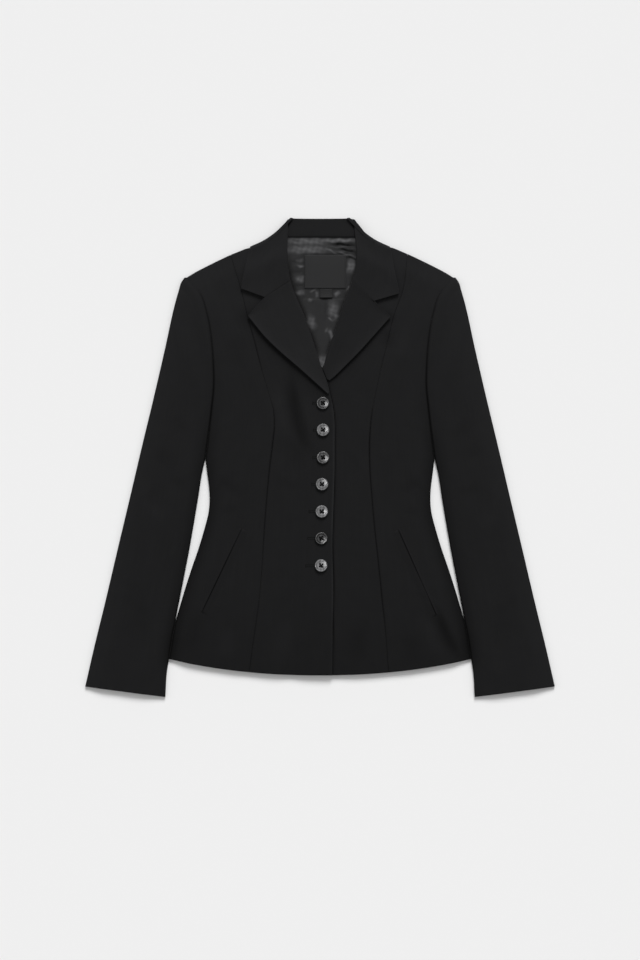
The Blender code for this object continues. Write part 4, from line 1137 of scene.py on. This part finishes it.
# Lining, label and size tab in the neck
# painted light on the lining: lighter on wrinkle ridges and darker in their troughs, with painted shade
# along the neck seam and beside the lapels' rolls
neck = {"step": 1.1, "width": 100.0, "topY": 300.0, "labelBox": ((-22.0, 240.0), (37.0, 287.0)),
        "tabBox": ((0.0, 226.5), (18.0, 239.0)), "labelStep": 1.8, "labelFade": 4.0, "labelRadius": 0.5,
        "labelBow": 0.5, "lift": {"neck_label": 0.0, "size_tab": 1.1}, "puff": 0.5, "clear": 0.1,
        "wrinkle": 0.5, "wrinkleShade": 0.12, "seamGroove": 0.2, "seamShade": (-0.6, 1.2),
        "shadeTopY": 300.0, "shadeRun": 40.0, "rollShade": {"right": (-0.75, 5.0), "left": (-0.6, 3.0)},
        "tipY": 132.0, "tipRun": 46.0, "tipStart": 0.3, "tipGap": 1.6,
        "tone": {"neck_label": 0.0, "size_tab": -0.32}}
# how the edges of a patch waver and its tone ripples: amount, then lengths and bends of the waves
patchWaver = {"amount": 0.7, "x": (2.3, 0.8, 3.1), "y": (2.7, 1.1, 3.7)}
patchRipple = {"amount": 0.35, "first": (1.9, 2.6), "second": (3.3, -1.7)}
patchPower = 3       # how level a patch is in its middle
# painted highlights and painted shade of the satin, as paler and darker patches: middle, turn in degrees,
# half sizes and tone
patchColumns = ("x", "y", "turn", "halfLength", "halfWidth", "tone")
paintedSatinLight = (
    (-19.0, 306.6, 0.0, 27.0, 4.6, 2.6),       # two pale bands under the neck seam
    (-19.0, 295.0, 0.0, 27.0, 5.2, 2.5),
    (-32.0, 308.0, 0.0, 5.5, 1.2, -0.94),
    (29.0, 308.2, 0.0, 21.0, 2.4, 3.2),         # twisted strands at the neck's left corner
    (33.0, 302.2, -4.0, 17.0, 1.9, -0.94),
    (32.0, 297.8, -6.0, 18.0, 1.0, 0.9),
    (40.6, 293.4, -14.0, 11.0, 2.2, -0.94),
    (17.3, 292.8, -27.0, 10.0, 1.1, 2.0),
    (37.6, 288.4, -17.0, 13.5, 1.1, 2.2),
    (44.4, 283.2, -15.0, 8.0, 1.7, -0.94),
    (44.4, 271.0, 80.0, 8.5, 5.6, 3.0),
    (39.9, 240.8, 70.0, 3.2, 1.2, 1.8),
    (-28.6, 280.0, 0.0, 5.5, 2.0, 1.4),         # beside the label
    (-27.9, 271.6, 0.0, 4.2, 1.7, 2.7),
    (-28.6, 252.8, 0.0, 6.0, 4.4, 2.6),
    (-27.9, 234.0, 0.0, 5.8, 3.2, 2.1),
    (-9.0, 237.0, 20.0, 4.2, 1.5, 2.2),         # puckers under the label
    (-4.6, 231.0, 80.0, 3.8, 2.0, 2.2),
    (24.8, 232.6, 25.0, 4.4, 2.6, 2.5),
    (-14.3, 223.4, 0.0, 2.8, 2.2, 1.4),
    (9.0, 225.4, 0.0, 10.0, 1.1, -0.94),
    (18.8, 209.2, 84.0, 11.0, 6.4, 2.1),       # broad pale folds lower down
    (23.4, 200.2, 30.0, 4.0, 3.0, 1.1),
    (15.0, 195.6, -25.0, 4.4, 1.0, 2.0),
    (9.0, 180.6, 90.0, 2.8, 2.0, 1.4),
    (15.8, 173.8, 105.0, 7.0, 2.6, 2.8),
    (-12.0, 191.5, 105.0, 8.5, 5.2, 2.1),
    (3.2, 133.0, 90.0, 10.0, 6.0, 3.4),
)


def insideLabel(x, y):
    lowX, lowY = neck["labelBox"][0][0], neck["tabBox"][0][1]
    highX, highY = neck["labelBox"][1]
    reach = np.minimum(np.minimum(x - lowX, highX - x), np.minimum(y - lowY, highY - y))
    return ease(1.0 + reach / neck["labelFade"])


def liningWrinkle(x, y):
    return neck["wrinkle"] * creaseHeight(x, y, liningCreases) * (1.0 - insideLabel(x, y))


def waver(along, across, wave):
    length, bend, bendLength = wave
    return patchWaver["amount"] * np.sin(along / length + bend * np.sin(across / bendLength))


def ripple(x, y, wave):
    return np.sin(x / wave[0] + y / wave[1])


def satinLightAndShade(x, y):
    # the painted highlight and shade patches have wavering edges and a slight ripple
    x, y = x + waver(y, x, patchWaver["x"]), y + waver(x, y, patchWaver["y"])
    uneven = patchRipple["amount"] * ripple(x, y, patchRipple["first"])
    uneven = 1.0 + uneven * ripple(x, y, patchRipple["second"])
    tone = np.zeros(x.shape)
    for row in paintedSatinLight:
        patch = dict(zip(patchColumns, row))
        turn = math.radians(patch["turn"])
        dx, dy = x - patch["x"], y - patch["y"]
        along = (dx * math.cos(turn) + dy * math.sin(turn)) / patch["halfLength"]
        across = (dy * math.cos(turn) - dx * math.sin(turn)) / patch["halfWidth"]
        tone = tone + patch["tone"] * np.exp(-np.abs(along) ** patchPower - np.abs(across) ** patchPower)
    return tone * uneven


def rollShade(x, y):
    # painted shadow: the lining is painted darker beside the lapels that roll over it
    shade = np.zeros(x.shape)
    for side, sideName in sides:
        amount, reach = neck["rollShade"][sideName]
        away = np.maximum(side * (rollLine(sideName, y) - x), 0.0)
        shade = shade + amount * np.exp(-(away / reach) ** 2)
    fade = ease((y - neck["tipY"]) / neck["tipRun"] + neck["tipStart"])
    return shade * ease((neck["shadeTopY"] - y) / neck["shadeRun"]) * fade


def liningLow(x, y):
    puff = neck["puff"] * (1.0 - insideLabel(x, y))
    return backTop(x, y) + np.maximum(cloth["lay"] + puff + liningWrinkle(x, y), neck["clear"])


def makeLining():
    start, end = draft["neckY"] - 0.5 * cloth["seam"], draft["pointY"] + neck["tipGap"]
    v = spacing(start - end, neck["step"])
    y = start + (end - start) * v
    edgeY = np.minimum(y, neck["topY"])
    inner = pointsOf(frontEdge("right", edgeY) + cloth["lay"], y)
    outer = pointsOf(frontEdge("left", edgeY) - cloth["lay"], y)
    shares = acrossShares(widthOf(inner, outer), neck["width"], neck["step"])
    plan = straightPatch(inner, outer, shares, v)
    x, y = plan[..., 0], plan[..., 1]
    edges = (("top", "seam", neck["seamGroove"], 1.0),)
    # painted light of the satin: wrinkle shading, painted highlight and shade patches, the painted shadow
    # of the rolls, and painted shade along the neck seam
    tone = neck["wrinkleShade"] * liningWrinkle(x, y) + satinLightAndShade(x, y) + rollShade(x, y)
    layShell("back_lining", plan, liningLow(x, y), cloth["lining"], edges, satin,
             (("top", *neck["seamShade"]),), tone)


def labelGround(x, y):
    return backTop(x, y) + cloth["lay"] + cloth["lining"] + cloth["seam"]


def makeTrim(node, box):
    (lowX, lowY), (highX, highY) = box
    v = spacing(highY - lowY, neck["labelStep"])
    y = highY + (lowY - highY) * v
    inner, outer = pointsOf(lowX, y), pointsOf(highX, y)
    shares = acrossShares(widthOf(inner, outer), highX - lowX, neck["labelStep"])
    plan = straightPatch(inner, outer, shares, v)
    bow = neck["labelBow"] * (plan[..., 0] - lowX) * (highX - plan[..., 0]) / (0.5 * (highX - lowX)) ** 2
    low = labelGround(plan[..., 0], plan[..., 1]) + bow * v[:, None]
    low = low + neck["lift"][node] * v[:, None] ** 2
    edges = tuple((edge, "nose", neck["labelRadius"], 1.0) for edge in ("inner", "outer", "top", "bottom"))
    layShell(node, plan, low, cloth["label"], edges, wovenLabel, (),
             neck["tone"][node])


makeLining()
makeTrim("neck_label", neck["labelBox"])
makeTrim("size_tab", neck["tabBox"])
print("lining and label made")

# Pocket welts with a narrow mouth along their outer side
weltLines = {"right": ((-111.3, -104.0), (-168.6, -224.0)), "left": ((111.4, -105.5), (166.0, -228.0))}
# the mouth entries place a painted shade along the welt's outer side
welt = {"width": 9.0, "step": 2.0, "endRun": 3.0, "endStart": 0.15, "lift": 0.12, "under": 0.05,
        "mouthAt": 9.45, "mouthReach": 0.95, "mouthShade": -0.95, "stitchColumn": 6, "stitchSkip": 4}
weltShape = smoothTable(("reach", "height"), (
    (0.0, 0.01), (1.5, 0.08), (3.5, 0.34), (6.0, 0.7), (7.9, 0.86), (8.6, 0.76), (9.0, 0.4), (9.2, 0.1),
    (9.7, 0.1), (9.9, 0.35), (10.4, 0.5), (11.4, 0.28), (12.4, 0.03)))
# painted shade in the mouth: how dark it is along its length, from the top end
mouthShadeAlong = smoothTable(("share", "right", "left"), (
    (0.0, 0.35, 0.6), (0.1, 0.6, 0.85), (0.3, 0.85, 0.9), (0.48, 1.0, 0.75), (0.62, 1.0, 0.35),
    (0.8, 0.9, 0.4), (0.9, 0.8, 0.8), (1.0, 0.4, 0.7)))
# places across a welt, closest at its mouth: start, end and count of each run
weltRuns = ((0.0, 2.0, 9), (2.6, 8.0, 10), (8.2, 10.6, 19), (10.8, 12.4, 6))
weltReach = np.concatenate([np.linspace(*run) for run in weltRuns])


def weltPlan(side, sideName):
    upper, lower = (np.array(end) for end in weltLines[sideName])
    length = np.hypot(*(lower - upper))
    dx, dy = (lower - upper) / length
    inward = np.array((-side * abs(dy), -abs(dx)))
    along = spacing(length, welt["step"]) * length
    away = welt["width"] - weltReach
    plan = upper + along[:, None, None] * np.array((dx, dy)) + away[None, :, None] * inward
    return plan, along, length


def makeWelt(side, sideName):
    plan, along, length = weltPlan(side, sideName)
    ends = ease(np.minimum(along, length - along) / welt["endRun"] + welt["endStart"])
    shape = weltShape("height", weltReach)[None, :] * ends[:, None]
    ground = frontTop(sideName, plan[..., 0], plan[..., 1])
    top = np.concatenate((plan, (ground + welt["lift"] + shape)[..., None]), axis=-1)
    bottom = np.concatenate((plan, (ground + welt["under"])[..., None]), axis=-1)
    # painted shade in the mouth, plus the painted light falloff down the fronts
    mouth = welt["mouthShade"] * mouthShadeAlong(sideName, along / length)[:, None]
    tone = mouth * np.exp(-((weltReach - welt["mouthAt"]) / welt["mouthReach"]) ** 2)[None, :]
    tone = tone + paintedLightFalloff("body", plan[..., 1])
    mesh = shellMesh("cloth_welt_" + sideName, top, bottom, gridUv(plan), tone)
    addCloth("welt_" + sideName, mesh, suiting)


for side, sideName in sides:
    makeWelt(side, sideName)
print("welts made")

# Buttons: one turned section with four flared holes, set down once for each place
button = {"first": (3.9, 75.9), "last": (1.4, -156.2), "radius": 8.9, "rings": 66, "around": 64,
          "holeAt": 1.9, "holeAround": 20, "dishZ": 2.6, "threadLift": 0.25, "sharpAngle": 38.0,
          "restShare": 0.8, "restSteps": 24}
# each is sewn on a little differently: tone, turn and tilt in degrees, place, and reach of its buttonhole
buttonColumns = ("tone", "turn", "tilt", "shiftX", "shiftY", "holeReach")
buttonRows = (
    (-0.56, 4.0, 2.9, 0.2, -0.2, 14.0), (0.1, -7.0, -0.9, 0.8, 0.0, 13.0),
    (-0.42, 10.0, 2.3, 1.2, -0.6, 14.0), (-0.03, -3.0, -2.9, 0.2, -0.3, 14.0),
    (0.15, 6.0, 0.2, 0.3, -0.5, 17.5), (-0.66, 18.0, 3.5, 0.1, 0.0, 19.0),
    (0.2, -9.0, -3.4, 0.2, -0.4, 21.5))
buttons = [dict(zip(buttonColumns, row)) for row in buttonRows]
# a thread hole, flared at both faces: radius and height
holeSection = ((2.2, -0.8), (1.6, -0.1), (1.1, 0.5), (1.1, 2.15), (1.6, 2.65), (2.4, 3.6))
buttonSection = smoothTable(("step", "radius", "z"), (
    (0.0, 0.4, 0.25), (1.0, 5.2, 0.05), (2.0, 7.0, 0.15), (3.0, 8.3, 0.7), (4.0, 8.9, 1.6), (5.0, 8.8, 2.4),
    (6.0, 8.4, 2.92), (7.0, 7.8, 3.06), (8.0, 7.1, 3.0), (9.0, 6.1, 2.9), (10.0, 4.9, 2.8),
    (11.0, 3.6, 2.69), (12.0, 2.4, 2.6), (13.0, 0.4, 2.56)))
sectionEnd = 13.0
# painted shade: the horn is painted darker in its middle, in the turned ring inside the rim where a groove
# would shade it, and at its edge
hornPaintedShade = smoothTable(("radius", "tone"), (
    (0.0, -0.3), (2.4, -0.15), (3.6, 0.12), (5.0, 0.12), (6.1, -0.35), (6.9, -0.1), (7.7, 0.15),
    (8.9, -0.3)))


def turnedMesh(name, radius, height, around):
    turn = np.linspace(0.0, 2.0 * math.pi, around, endpoint=False)
    points = []
    for r, z in zip(radius, height):
        points += [(r * math.cos(a) * mm, r * math.sin(a) * mm, z * mm) for a in turn]
    faces = [tuple(range(around)), tuple(range(len(points) - around, len(points)))]
    for k in range(len(radius) - 1):
        for j in range(around):
            a, b = k * around + j, k * around + (j + 1) % around
            faces.append((a, b, b + around, a + around))
    mesh = bpy.data.meshes.new(name)
    mesh.from_pydata(points, [], faces)
    form = bmesh.new()
    form.from_mesh(mesh)
    bmesh.ops.recalc_face_normals(form, faces=form.faces)
    form.to_mesh(mesh)
    form.free()
    return mesh


def plainMesh(item):
    bpy.context.view_layer.update()
    graph = bpy.context.evaluated_depsgraph_get()
    return bpy.data.meshes.new_from_object(item.evaluated_get(graph), depsgraph=graph)


def dropObject(item):
    mesh = item.data
    bpy.data.objects.remove(item, do_unlink=True)
    if mesh.users == 0:
        bpy.data.meshes.remove(mesh)


def buttonMesh():
    steps = np.linspace(0.0, sectionEnd, button["rings"])
    section = buttonSection("radius", steps), buttonSection("z", steps)
    mesh = turnedMesh("buttonForm", *section, button["around"])
    form = bpy.data.objects.new("buttonForm", mesh)
    bpy.context.scene.collection.objects.link(form)
    radius, height = zip(*holeSection)
    cutters = []
    for cornerX in (-1, 1):
        for cornerY in (-1, 1):
            hole = turnedMesh("buttonHole", radius, height, button["holeAround"])
            cutter = bpy.data.objects.new("buttonHole", hole)
            bpy.context.scene.collection.objects.link(cutter)
            cutter.location = (cornerX * button["holeAt"] * mm, cornerY * button["holeAt"] * mm, 0.0)
            cut = form.modifiers.new("hole", "BOOLEAN")
            cut.operation = "DIFFERENCE"
            cut.object = cutter
            cutters.append(cutter)
    made = plainMesh(form)
    for item in cutters + [form]:
        dropObject(item)
    return made


def buttonPlace(number):
    share = number / (len(buttons) - 1)
    centre = np.array(button["first"]) + share * (np.array(button["last"]) - np.array(button["first"]))
    centre = centre + (buttons[number]["shiftX"], buttons[number]["shiftY"])
    turn = np.linspace(0.0, 2.0 * math.pi, button["restSteps"], endpoint=False)
    rim = centre + button["restShare"] * button["radius"] * pointsOf(np.cos(turn), np.sin(turn))
    level = float(frontTop("right", rim[:, 0], rim[:, 1]).max()) + cloth["lay"]
    return centre, level


def makeButtons():
    source = buttonMesh()
    for number, sewn in enumerate(buttons):
        node = "button_%d" % (number + 1)
        centre, level = buttonPlace(number)
        mesh = source.copy()
        mesh.name = "horn_" + node
        spots = np.empty(3 * len(mesh.vertices), np.float32)
        mesh.vertices.foreach_get("co", spots)
        # painted shade from the ring table, plus each button's own tone
        tone = hornPaintedShade("tone", np.hypot(spots[0::3], spots[1::3]) / mm) + sewn["tone"]
        spot = Vector(((centre[0] + frameShift[0]) * mm, (centre[1] + frameShift[1]) * mm, level * mm))
        turn = Matrix.Rotation(math.radians(sewn["turn"]), 4, "Z")
        tilt = Matrix.Rotation(math.radians(sewn["tilt"]), 4, "X")
        mesh.transform(Matrix.Translation(spot) @ tilt @ turn)
        mesh.shade_smooth()
        mesh.set_sharp_from_angle(angle=math.radians(button["sharpAngle"]))
        paintedLightAndTone = mesh.attributes.new("paintedLightAndTone", "FLOAT", "POINT")
        paintedLightAndTone.data.foreach_set("value", tone.astype(np.float32))
        addPiece("horn_" + node, mesh, horn, node)
    bpy.data.meshes.remove(source)


makeButtons()
print("buttons made")


# Sewing, as Geometry Nodes
strandSteps = 6      # along a stitch
strandSides = 6      # round its thread
crossTurns = ((45.0, 0.0), (135.0, 0.00035))     # turn in degrees and rise of each bundle on a button
socketKinds = {"Strands": "NodeSocketInt", "Seed": "NodeSocketInt", "Thread": "NodeSocketMaterial"}


def newTree(name, inputs):
    # an input is a plain number unless socketKinds says otherwise
    tree = bpy.data.node_groups.new(name, "GeometryNodeTree")
    tree.interface.new_socket(name="Path", in_out="INPUT", socket_type="NodeSocketGeometry")
    for label in (*inputs, "Uneven", "Seed", "Thread"):
        kind = socketKinds.get(label, "NodeSocketFloat")
        tree.interface.new_socket(name=label, in_out="INPUT", socket_type=kind)
    tree.interface.new_socket(name="Sewing", in_out="OUTPUT", socket_type="NodeSocketGeometry")
    return tree, tree.nodes.new("NodeGroupInput"), tree.nodes.new("NodeGroupOutput")


def roundStrand(tree, given):
    # a short bent thread along x, from its ends in the cloth over its middle
    ends = []
    for sign in (-1.0, 1.0):
        reach = treeNode(tree, "ShaderNodeMath", {1: sign}, operation="MULTIPLY")
        wire(tree, given.outputs["Half Length"], reach.inputs[0])
        point = treeNode(tree, "ShaderNodeCombineXYZ")
        wire(tree, reach.outputs[0], point.inputs["X"])
        wire(tree, given.outputs["Sink"], point.inputs["Z"])
        ends.append(point)
    top = treeNode(tree, "ShaderNodeCombineXYZ")
    wire(tree, given.outputs["Arch"], top.inputs["Z"])
    bend = treeNode(tree, "GeometryNodeCurveQuadraticBezier", {"Resolution": strandSteps})
    wire(tree, ends[0].outputs[0], bend.inputs["Start"])
    wire(tree, top.outputs[0], bend.inputs["Middle"])
    wire(tree, ends[1].outputs[0], bend.inputs["End"])
    section = treeNode(tree, "GeometryNodeCurvePrimitiveCircle", {"Resolution": strandSides})
    wire(tree, given.outputs["Radius"], section.inputs["Radius"])
    tube = treeNode(tree, "GeometryNodeCurveToMesh", {"Fill Caps": True})
    wire(tree, bend.outputs[0], tube.inputs["Curve"])
    wire(tree, section.outputs[0], tube.inputs["Profile Curve"])
    return tube.outputs[0]


def turnAbout(tree, first, second):
    # a turn about z by the sum of two angles
    angle = treeNode(tree, "ShaderNodeMath", operation="ADD")
    wire(tree, first, angle.inputs[0])
    wire(tree, second, angle.inputs[1])
    euler = treeNode(tree, "ShaderNodeCombineXYZ")
    wire(tree, angle.outputs[0], euler.inputs["Z"])
    rotation = treeNode(tree, "FunctionNodeEulerToRotation")
    wire(tree, euler.outputs[0], rotation.inputs[0])
    return rotation.outputs[0]


def closeTree(tree, given, instances, output):
    real = treeNode(tree, "GeometryNodeRealizeInstances")
    wire(tree, instances, real.inputs[0])
    smooth = treeNode(tree, "GeometryNodeSetShadeSmooth")
    wire(tree, real.outputs[0], smooth.inputs[0])
    paint = treeNode(tree, "GeometryNodeSetMaterial")
    wire(tree, smooth.outputs[0], paint.inputs["Geometry"])
    wire(tree, given.outputs["Thread"], paint.inputs["Material"])
    wire(tree, paint.outputs[0], output.inputs[0])


def stitchTree():
    tree, given, output = newTree("stitchRow", ("Spacing", "Half Length", "Sink", "Arch", "Radius", "Turn"))
    path = treeNode(tree, "GeometryNodeMeshToCurve")
    wire(tree, given.outputs["Path"], path.inputs[0])
    even = treeNode(tree, "GeometryNodeResampleCurve", mode="LENGTH")
    wire(tree, path.outputs[0], even.inputs["Curve"])
    wire(tree, given.outputs["Spacing"], even.inputs["Length"])
    stitch = roundStrand(tree, given)
    facing = treeNode(tree, "GeometryNodeInputTangent")
    aligned = treeNode(tree, "FunctionNodeAlignRotationToVector", axis="X", pivot_axis="Z")
    wire(tree, facing.outputs[0], aligned.inputs["Vector"])
    chance = treeNode(tree, "FunctionNodeRandomValue", data_type="FLOAT")
    negative = treeNode(tree, "ShaderNodeMath", {1: -1.0}, operation="MULTIPLY")
    wire(tree, given.outputs["Uneven"], negative.inputs[0])
    wire(tree, negative.outputs[0], chance.inputs[2])
    wire(tree, given.outputs["Uneven"], chance.inputs[3])
    wire(tree, given.outputs["Seed"], chance.inputs["Seed"])
    extra = turnAbout(tree, chance.outputs[1], given.outputs["Turn"])
    turned = treeNode(tree, "FunctionNodeRotateRotation", rotation_space="LOCAL")
    wire(tree, aligned.outputs[0], turned.inputs[0])
    wire(tree, extra, turned.inputs[1])
    placed = treeNode(tree, "GeometryNodeInstanceOnPoints")
    wire(tree, even.outputs[0], placed.inputs["Points"])
    wire(tree, stitch, placed.inputs["Instance"])
    wire(tree, turned.outputs[0], placed.inputs["Rotation"])
    closeTree(tree, given, placed.outputs[0], output)
    return tree


def crossTree():
    # four holes sewn corner to corner, several strands each way
    inputs = ("Half Length", "Sink", "Arch", "Radius", "Strands", "Pitch")
    tree, given, output = newTree("buttonCross", inputs)
    strand = roundStrand(tree, given)
    offset = treeNode(tree, "ShaderNodeCombineXYZ")
    wire(tree, given.outputs["Pitch"], offset.inputs["Y"])
    lines = treeNode(tree, "GeometryNodeMeshLine", mode="OFFSET")
    wire(tree, given.outputs["Strands"], lines.inputs["Count"])
    wire(tree, offset.outputs[0], lines.inputs["Offset"])
    shift = treeNode(tree, "ShaderNodeVectorMath", operation="SCALE")
    wire(tree, offset.outputs[0], shift.inputs[0])
    shift.inputs["Scale"].default_value = -1.0
    wire(tree, shift.outputs[0], lines.inputs["Start Location"])
    bundle = treeNode(tree, "GeometryNodeInstanceOnPoints")
    wire(tree, lines.outputs[0], bundle.inputs["Points"])
    wire(tree, strand, bundle.inputs["Instance"])
    both = treeNode(tree, "GeometryNodeJoinGeometry")
    for angle, rise in crossTurns:
        laid = treeNode(tree, "GeometryNodeTransform",
                       {"Rotation": (0.0, 0.0, math.radians(angle)), "Translation": (0.0, 0.0, rise)})
        wire(tree, bundle.outputs[0], laid.inputs[0])
        wire(tree, laid.outputs[0], both.inputs[0])
    turn = treeNode(tree, "GeometryNodeInputNamedAttribute", {"Name": "turn"}, data_type="FLOAT")
    chance = treeNode(tree, "FunctionNodeRandomValue", data_type="FLOAT")
    wire(tree, given.outputs["Uneven"], chance.inputs[3])
    wire(tree, given.outputs["Seed"], chance.inputs["Seed"])
    facing = turnAbout(tree, turn.outputs[0], chance.outputs[1])
    placed = treeNode(tree, "GeometryNodeInstanceOnPoints")
    wire(tree, given.outputs["Path"], placed.inputs["Points"])
    wire(tree, both.outputs[0], placed.inputs["Instance"])
    wire(tree, facing, placed.inputs["Rotation"])
    closeTree(tree, given, placed.outputs[0], output)
    return tree


def pathMesh(name, lines):
    mesh = bpy.data.meshes.new(name)
    points, edges = [], []
    for line in lines:
        start = len(points)
        points += [tuple((np.asarray(point) + frameShift) * mm) for point in line]
        edges += [(start + k, start + k + 1) for k in range(len(line) - 1)]
    mesh.from_pydata(points, edges, [])
    return mesh


def sew(name, tree, mesh, values):
    guide = bpy.data.objects.new(name + "_guide", mesh)
    bpy.context.scene.collection.objects.link(guide)
    modifier = guide.modifiers.new("sewing", "NODES")
    modifier.node_group = tree
    keys = {item.name: item.identifier for item in tree.interface.items_tree if item.in_out == "INPUT"}
    for label, value in values.items():
        modifier[keys[label]] = value
    made = plainMesh(guide)
    guide.modifiers.remove(modifier)
    dropObject(guide)
    made.name = name
    piece = bpy.data.objects.new(name, made)
    bpy.context.scene.collection.objects.link(piece)
    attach(piece, "root")
    return piece


stitches = stitchTree()
crosses = crossTree()
buttonSewing = {"Half Length": 0.0029, "Sink": -0.0007, "Arch": 0.0012, "Radius": 0.00036, "Strands": 3,
                "Pitch": 0.00055, "Uneven": 0.25, "Seed": 4, "Thread": thread}
buttonholeSewing = {"Spacing": 0.00046, "Half Length": 0.0007, "Sink": -0.00022, "Arch": 0.00032,
                    "Radius": 0.00018, "Turn": math.radians(90.0), "Uneven": 0.14, "Seed": 11,
                    "Thread": twist}
tackSewing = {"Spacing": 0.0004, "Half Length": 0.0008, "Sink": -0.0002, "Arch": 0.00045, "Radius": 0.00019,
              "Turn": math.radians(90.0), "Uneven": 0.1, "Seed": 5, "Thread": twist}
weltSewing = {"Spacing": 0.0026, "Half Length": 0.00105, "Sink": -0.00035, "Arch": 0.00022,
              "Radius": 0.00017, "Turn": 0.0, "Uneven": 0.05, "Seed": 3, "Thread": twist}
labelSewing = {"Spacing": 0.0023, "Half Length": 0.0009, "Sink": -0.0003, "Arch": 0.0003, "Radius": 0.00016,
               "Turn": 0.0, "Uneven": 0.06, "Seed": 8, "Thread": twist}
buttonhole = {"hidden": 4.0, "half": 1.3, "step": 0.8, "lift": 0.12, "tackHalf": 2.1, "tackPoints": 6,
              "tackGap": 0.5}
labelLine = {"inset": 1.6, "end": 1.5, "points": 24, "lift": 0.06}


def makeButtonSewing():
    spots = []
    for number in range(len(buttons)):
        centre, level = buttonPlace(number)
        spots.append([(centre[0], centre[1], level + button["dishZ"] + button["threadLift"])])
    mesh = pathMesh("button_thread", spots)
    turn = mesh.attributes.new("turn", "FLOAT", "POINT")
    turn.data.foreach_set("value", np.radians(np.array([sewn["turn"] for sewn in buttons], np.float32)))
    piece = sew("button_thread", crosses, mesh, buttonSewing)


def onRightFront(x, y):
    return np.stack((x, y, frontTop("right", x, y) + buttonhole["lift"]), axis=-1)


def makeButtonholes():
    rows, tacks = [], []
    for number, sewn in enumerate(buttons):
        centre = buttonPlace(number)[0]
        start, end = centre[0] - sewn["holeReach"], centre[0] - buttonhole["hidden"]
        x = np.arange(start, end, buttonhole["step"])
        for sign in (-1.0, 1.0):
            rows.append(onRightFront(x, np.full_like(x, centre[1] + sign * buttonhole["half"])))
        half = buttonhole["tackHalf"]
        y = np.linspace(centre[1] - half, centre[1] + half, buttonhole["tackPoints"])
        tacks.append(onRightFront(np.full_like(y, start - buttonhole["tackGap"]), y))
    piece = sew("buttonhole_stitches", stitches, pathMesh("buttonhole_stitches", rows), buttonholeSewing)
    piece = sew("buttonhole_tacks", stitches, pathMesh("buttonhole_tacks", tacks), tackSewing)


def makeWeltStitches():
    skip, column = welt["stitchSkip"], welt["stitchColumn"]
    raised = float(weltShape("height", weltReach[column]))
    lines = []
    for side, sideName in sides:
        inside = weltPlan(side, sideName)[0][skip:-skip, column]
        height = frontTop(sideName, inside[:, 0], inside[:, 1]) + welt["lift"] + raised
        lines.append(np.concatenate((inside, height[:, None]), axis=-1))
    piece = sew("welt_stitches", stitches, pathMesh("welt_stitches", lines), weltSewing)


def makeLabelStitches():
    (lowX, lowY), (highX, highY) = neck["labelBox"]
    y = np.linspace(lowY + labelLine["end"], highY - labelLine["end"], labelLine["points"])
    lines = []
    for x in (lowX + labelLine["inset"], highX - labelLine["inset"]):
        height = labelGround(x, y) + cloth["label"] + labelLine["lift"]
        lines.append(np.stack((np.full_like(y, x), y, height), axis=-1))
    piece = sew("label_stitches", stitches, pathMesh("label_stitches", lines), labelSewing)


makeButtonSewing()
makeButtonholes()
makeWeltStitches()
makeLabelStitches()
print("sewing made")

# Floor, light and camera
stage = {"reach": 14.0, "tone": 0.80, "rough": 0.9, "drop": 0.0002, "fill": 0.224, "cameraHeight": 3.4,
         "viewHeight": 1.3728, "viewY": -0.03185, "clothHeight": 0.007}
lampColumns = ("name", "height", "from", "spread", "strength")
lamps = (
    ("softKey", 36.0, -8.0, 26.0, 3.16), ("softLeft", 35.0, 78.0, 42.0, 0.51),
    ("softRight", 35.0, -78.0, 42.0, 0.51), ("softTop", 80.0, 90.0, 5.0, 0.26))


def makeFloor():
    mesh = bpy.data.meshes.new("floor")
    reach = stage["reach"]
    corners = [(-reach, -reach, 0.0), (reach, -reach, 0.0), (reach, reach, 0.0), (-reach, reach, 0.0)]
    mesh.from_pydata(corners, [], [(0, 1, 2, 3)])
    floor = bpy.data.objects.new("floor", mesh)
    floor.location.z = -stage["drop"]
    bpy.context.scene.collection.objects.link(floor)
    look = {"light": (stage["tone"],) * 3, "rough": stage["rough"], "specular": 0.0}
    mesh.materials.append(startMaterial("paleFloor", look)[0])


def makeLight():
    for row in lamps:
        lamp = dict(zip(lampColumns, row))
        data = bpy.data.lights.new(lamp["name"], "SUN")
        data.energy = lamp["strength"]
        data.angle = math.radians(lamp["spread"])
        item = bpy.data.objects.new(lamp["name"], data)
        item.rotation_euler = (math.radians(lamp["height"] - 90.0), 0.0, math.radians(lamp["from"]))
        bpy.context.scene.collection.objects.link(item)
    world = bpy.data.worlds.new("softFill")
    world.use_nodes = True
    world.node_tree.nodes["Background"].inputs["Color"].default_value = (1.0, 1.0, 1.0, 1.0)
    world.node_tree.nodes["Background"].inputs["Strength"].default_value = stage["fill"]
    bpy.context.scene.world = world


def makeCamera():
    data = bpy.data.cameras.new("overhead")
    distance = stage["cameraHeight"] - stage["clothHeight"]
    data.lens = data.sensor_width * distance / stage["viewHeight"]
    camera = bpy.data.objects.new("overhead", data)
    camera.location = (0.0, stage["viewY"], stage["cameraHeight"])
    bpy.context.scene.collection.objects.link(camera)
    bpy.context.scene.camera = camera
    bpy.context.scene.view_settings.view_transform = "Standard"


makeFloor()
makeLight()
makeCamera()
print("stage made")

bpy.context.view_layer.update()
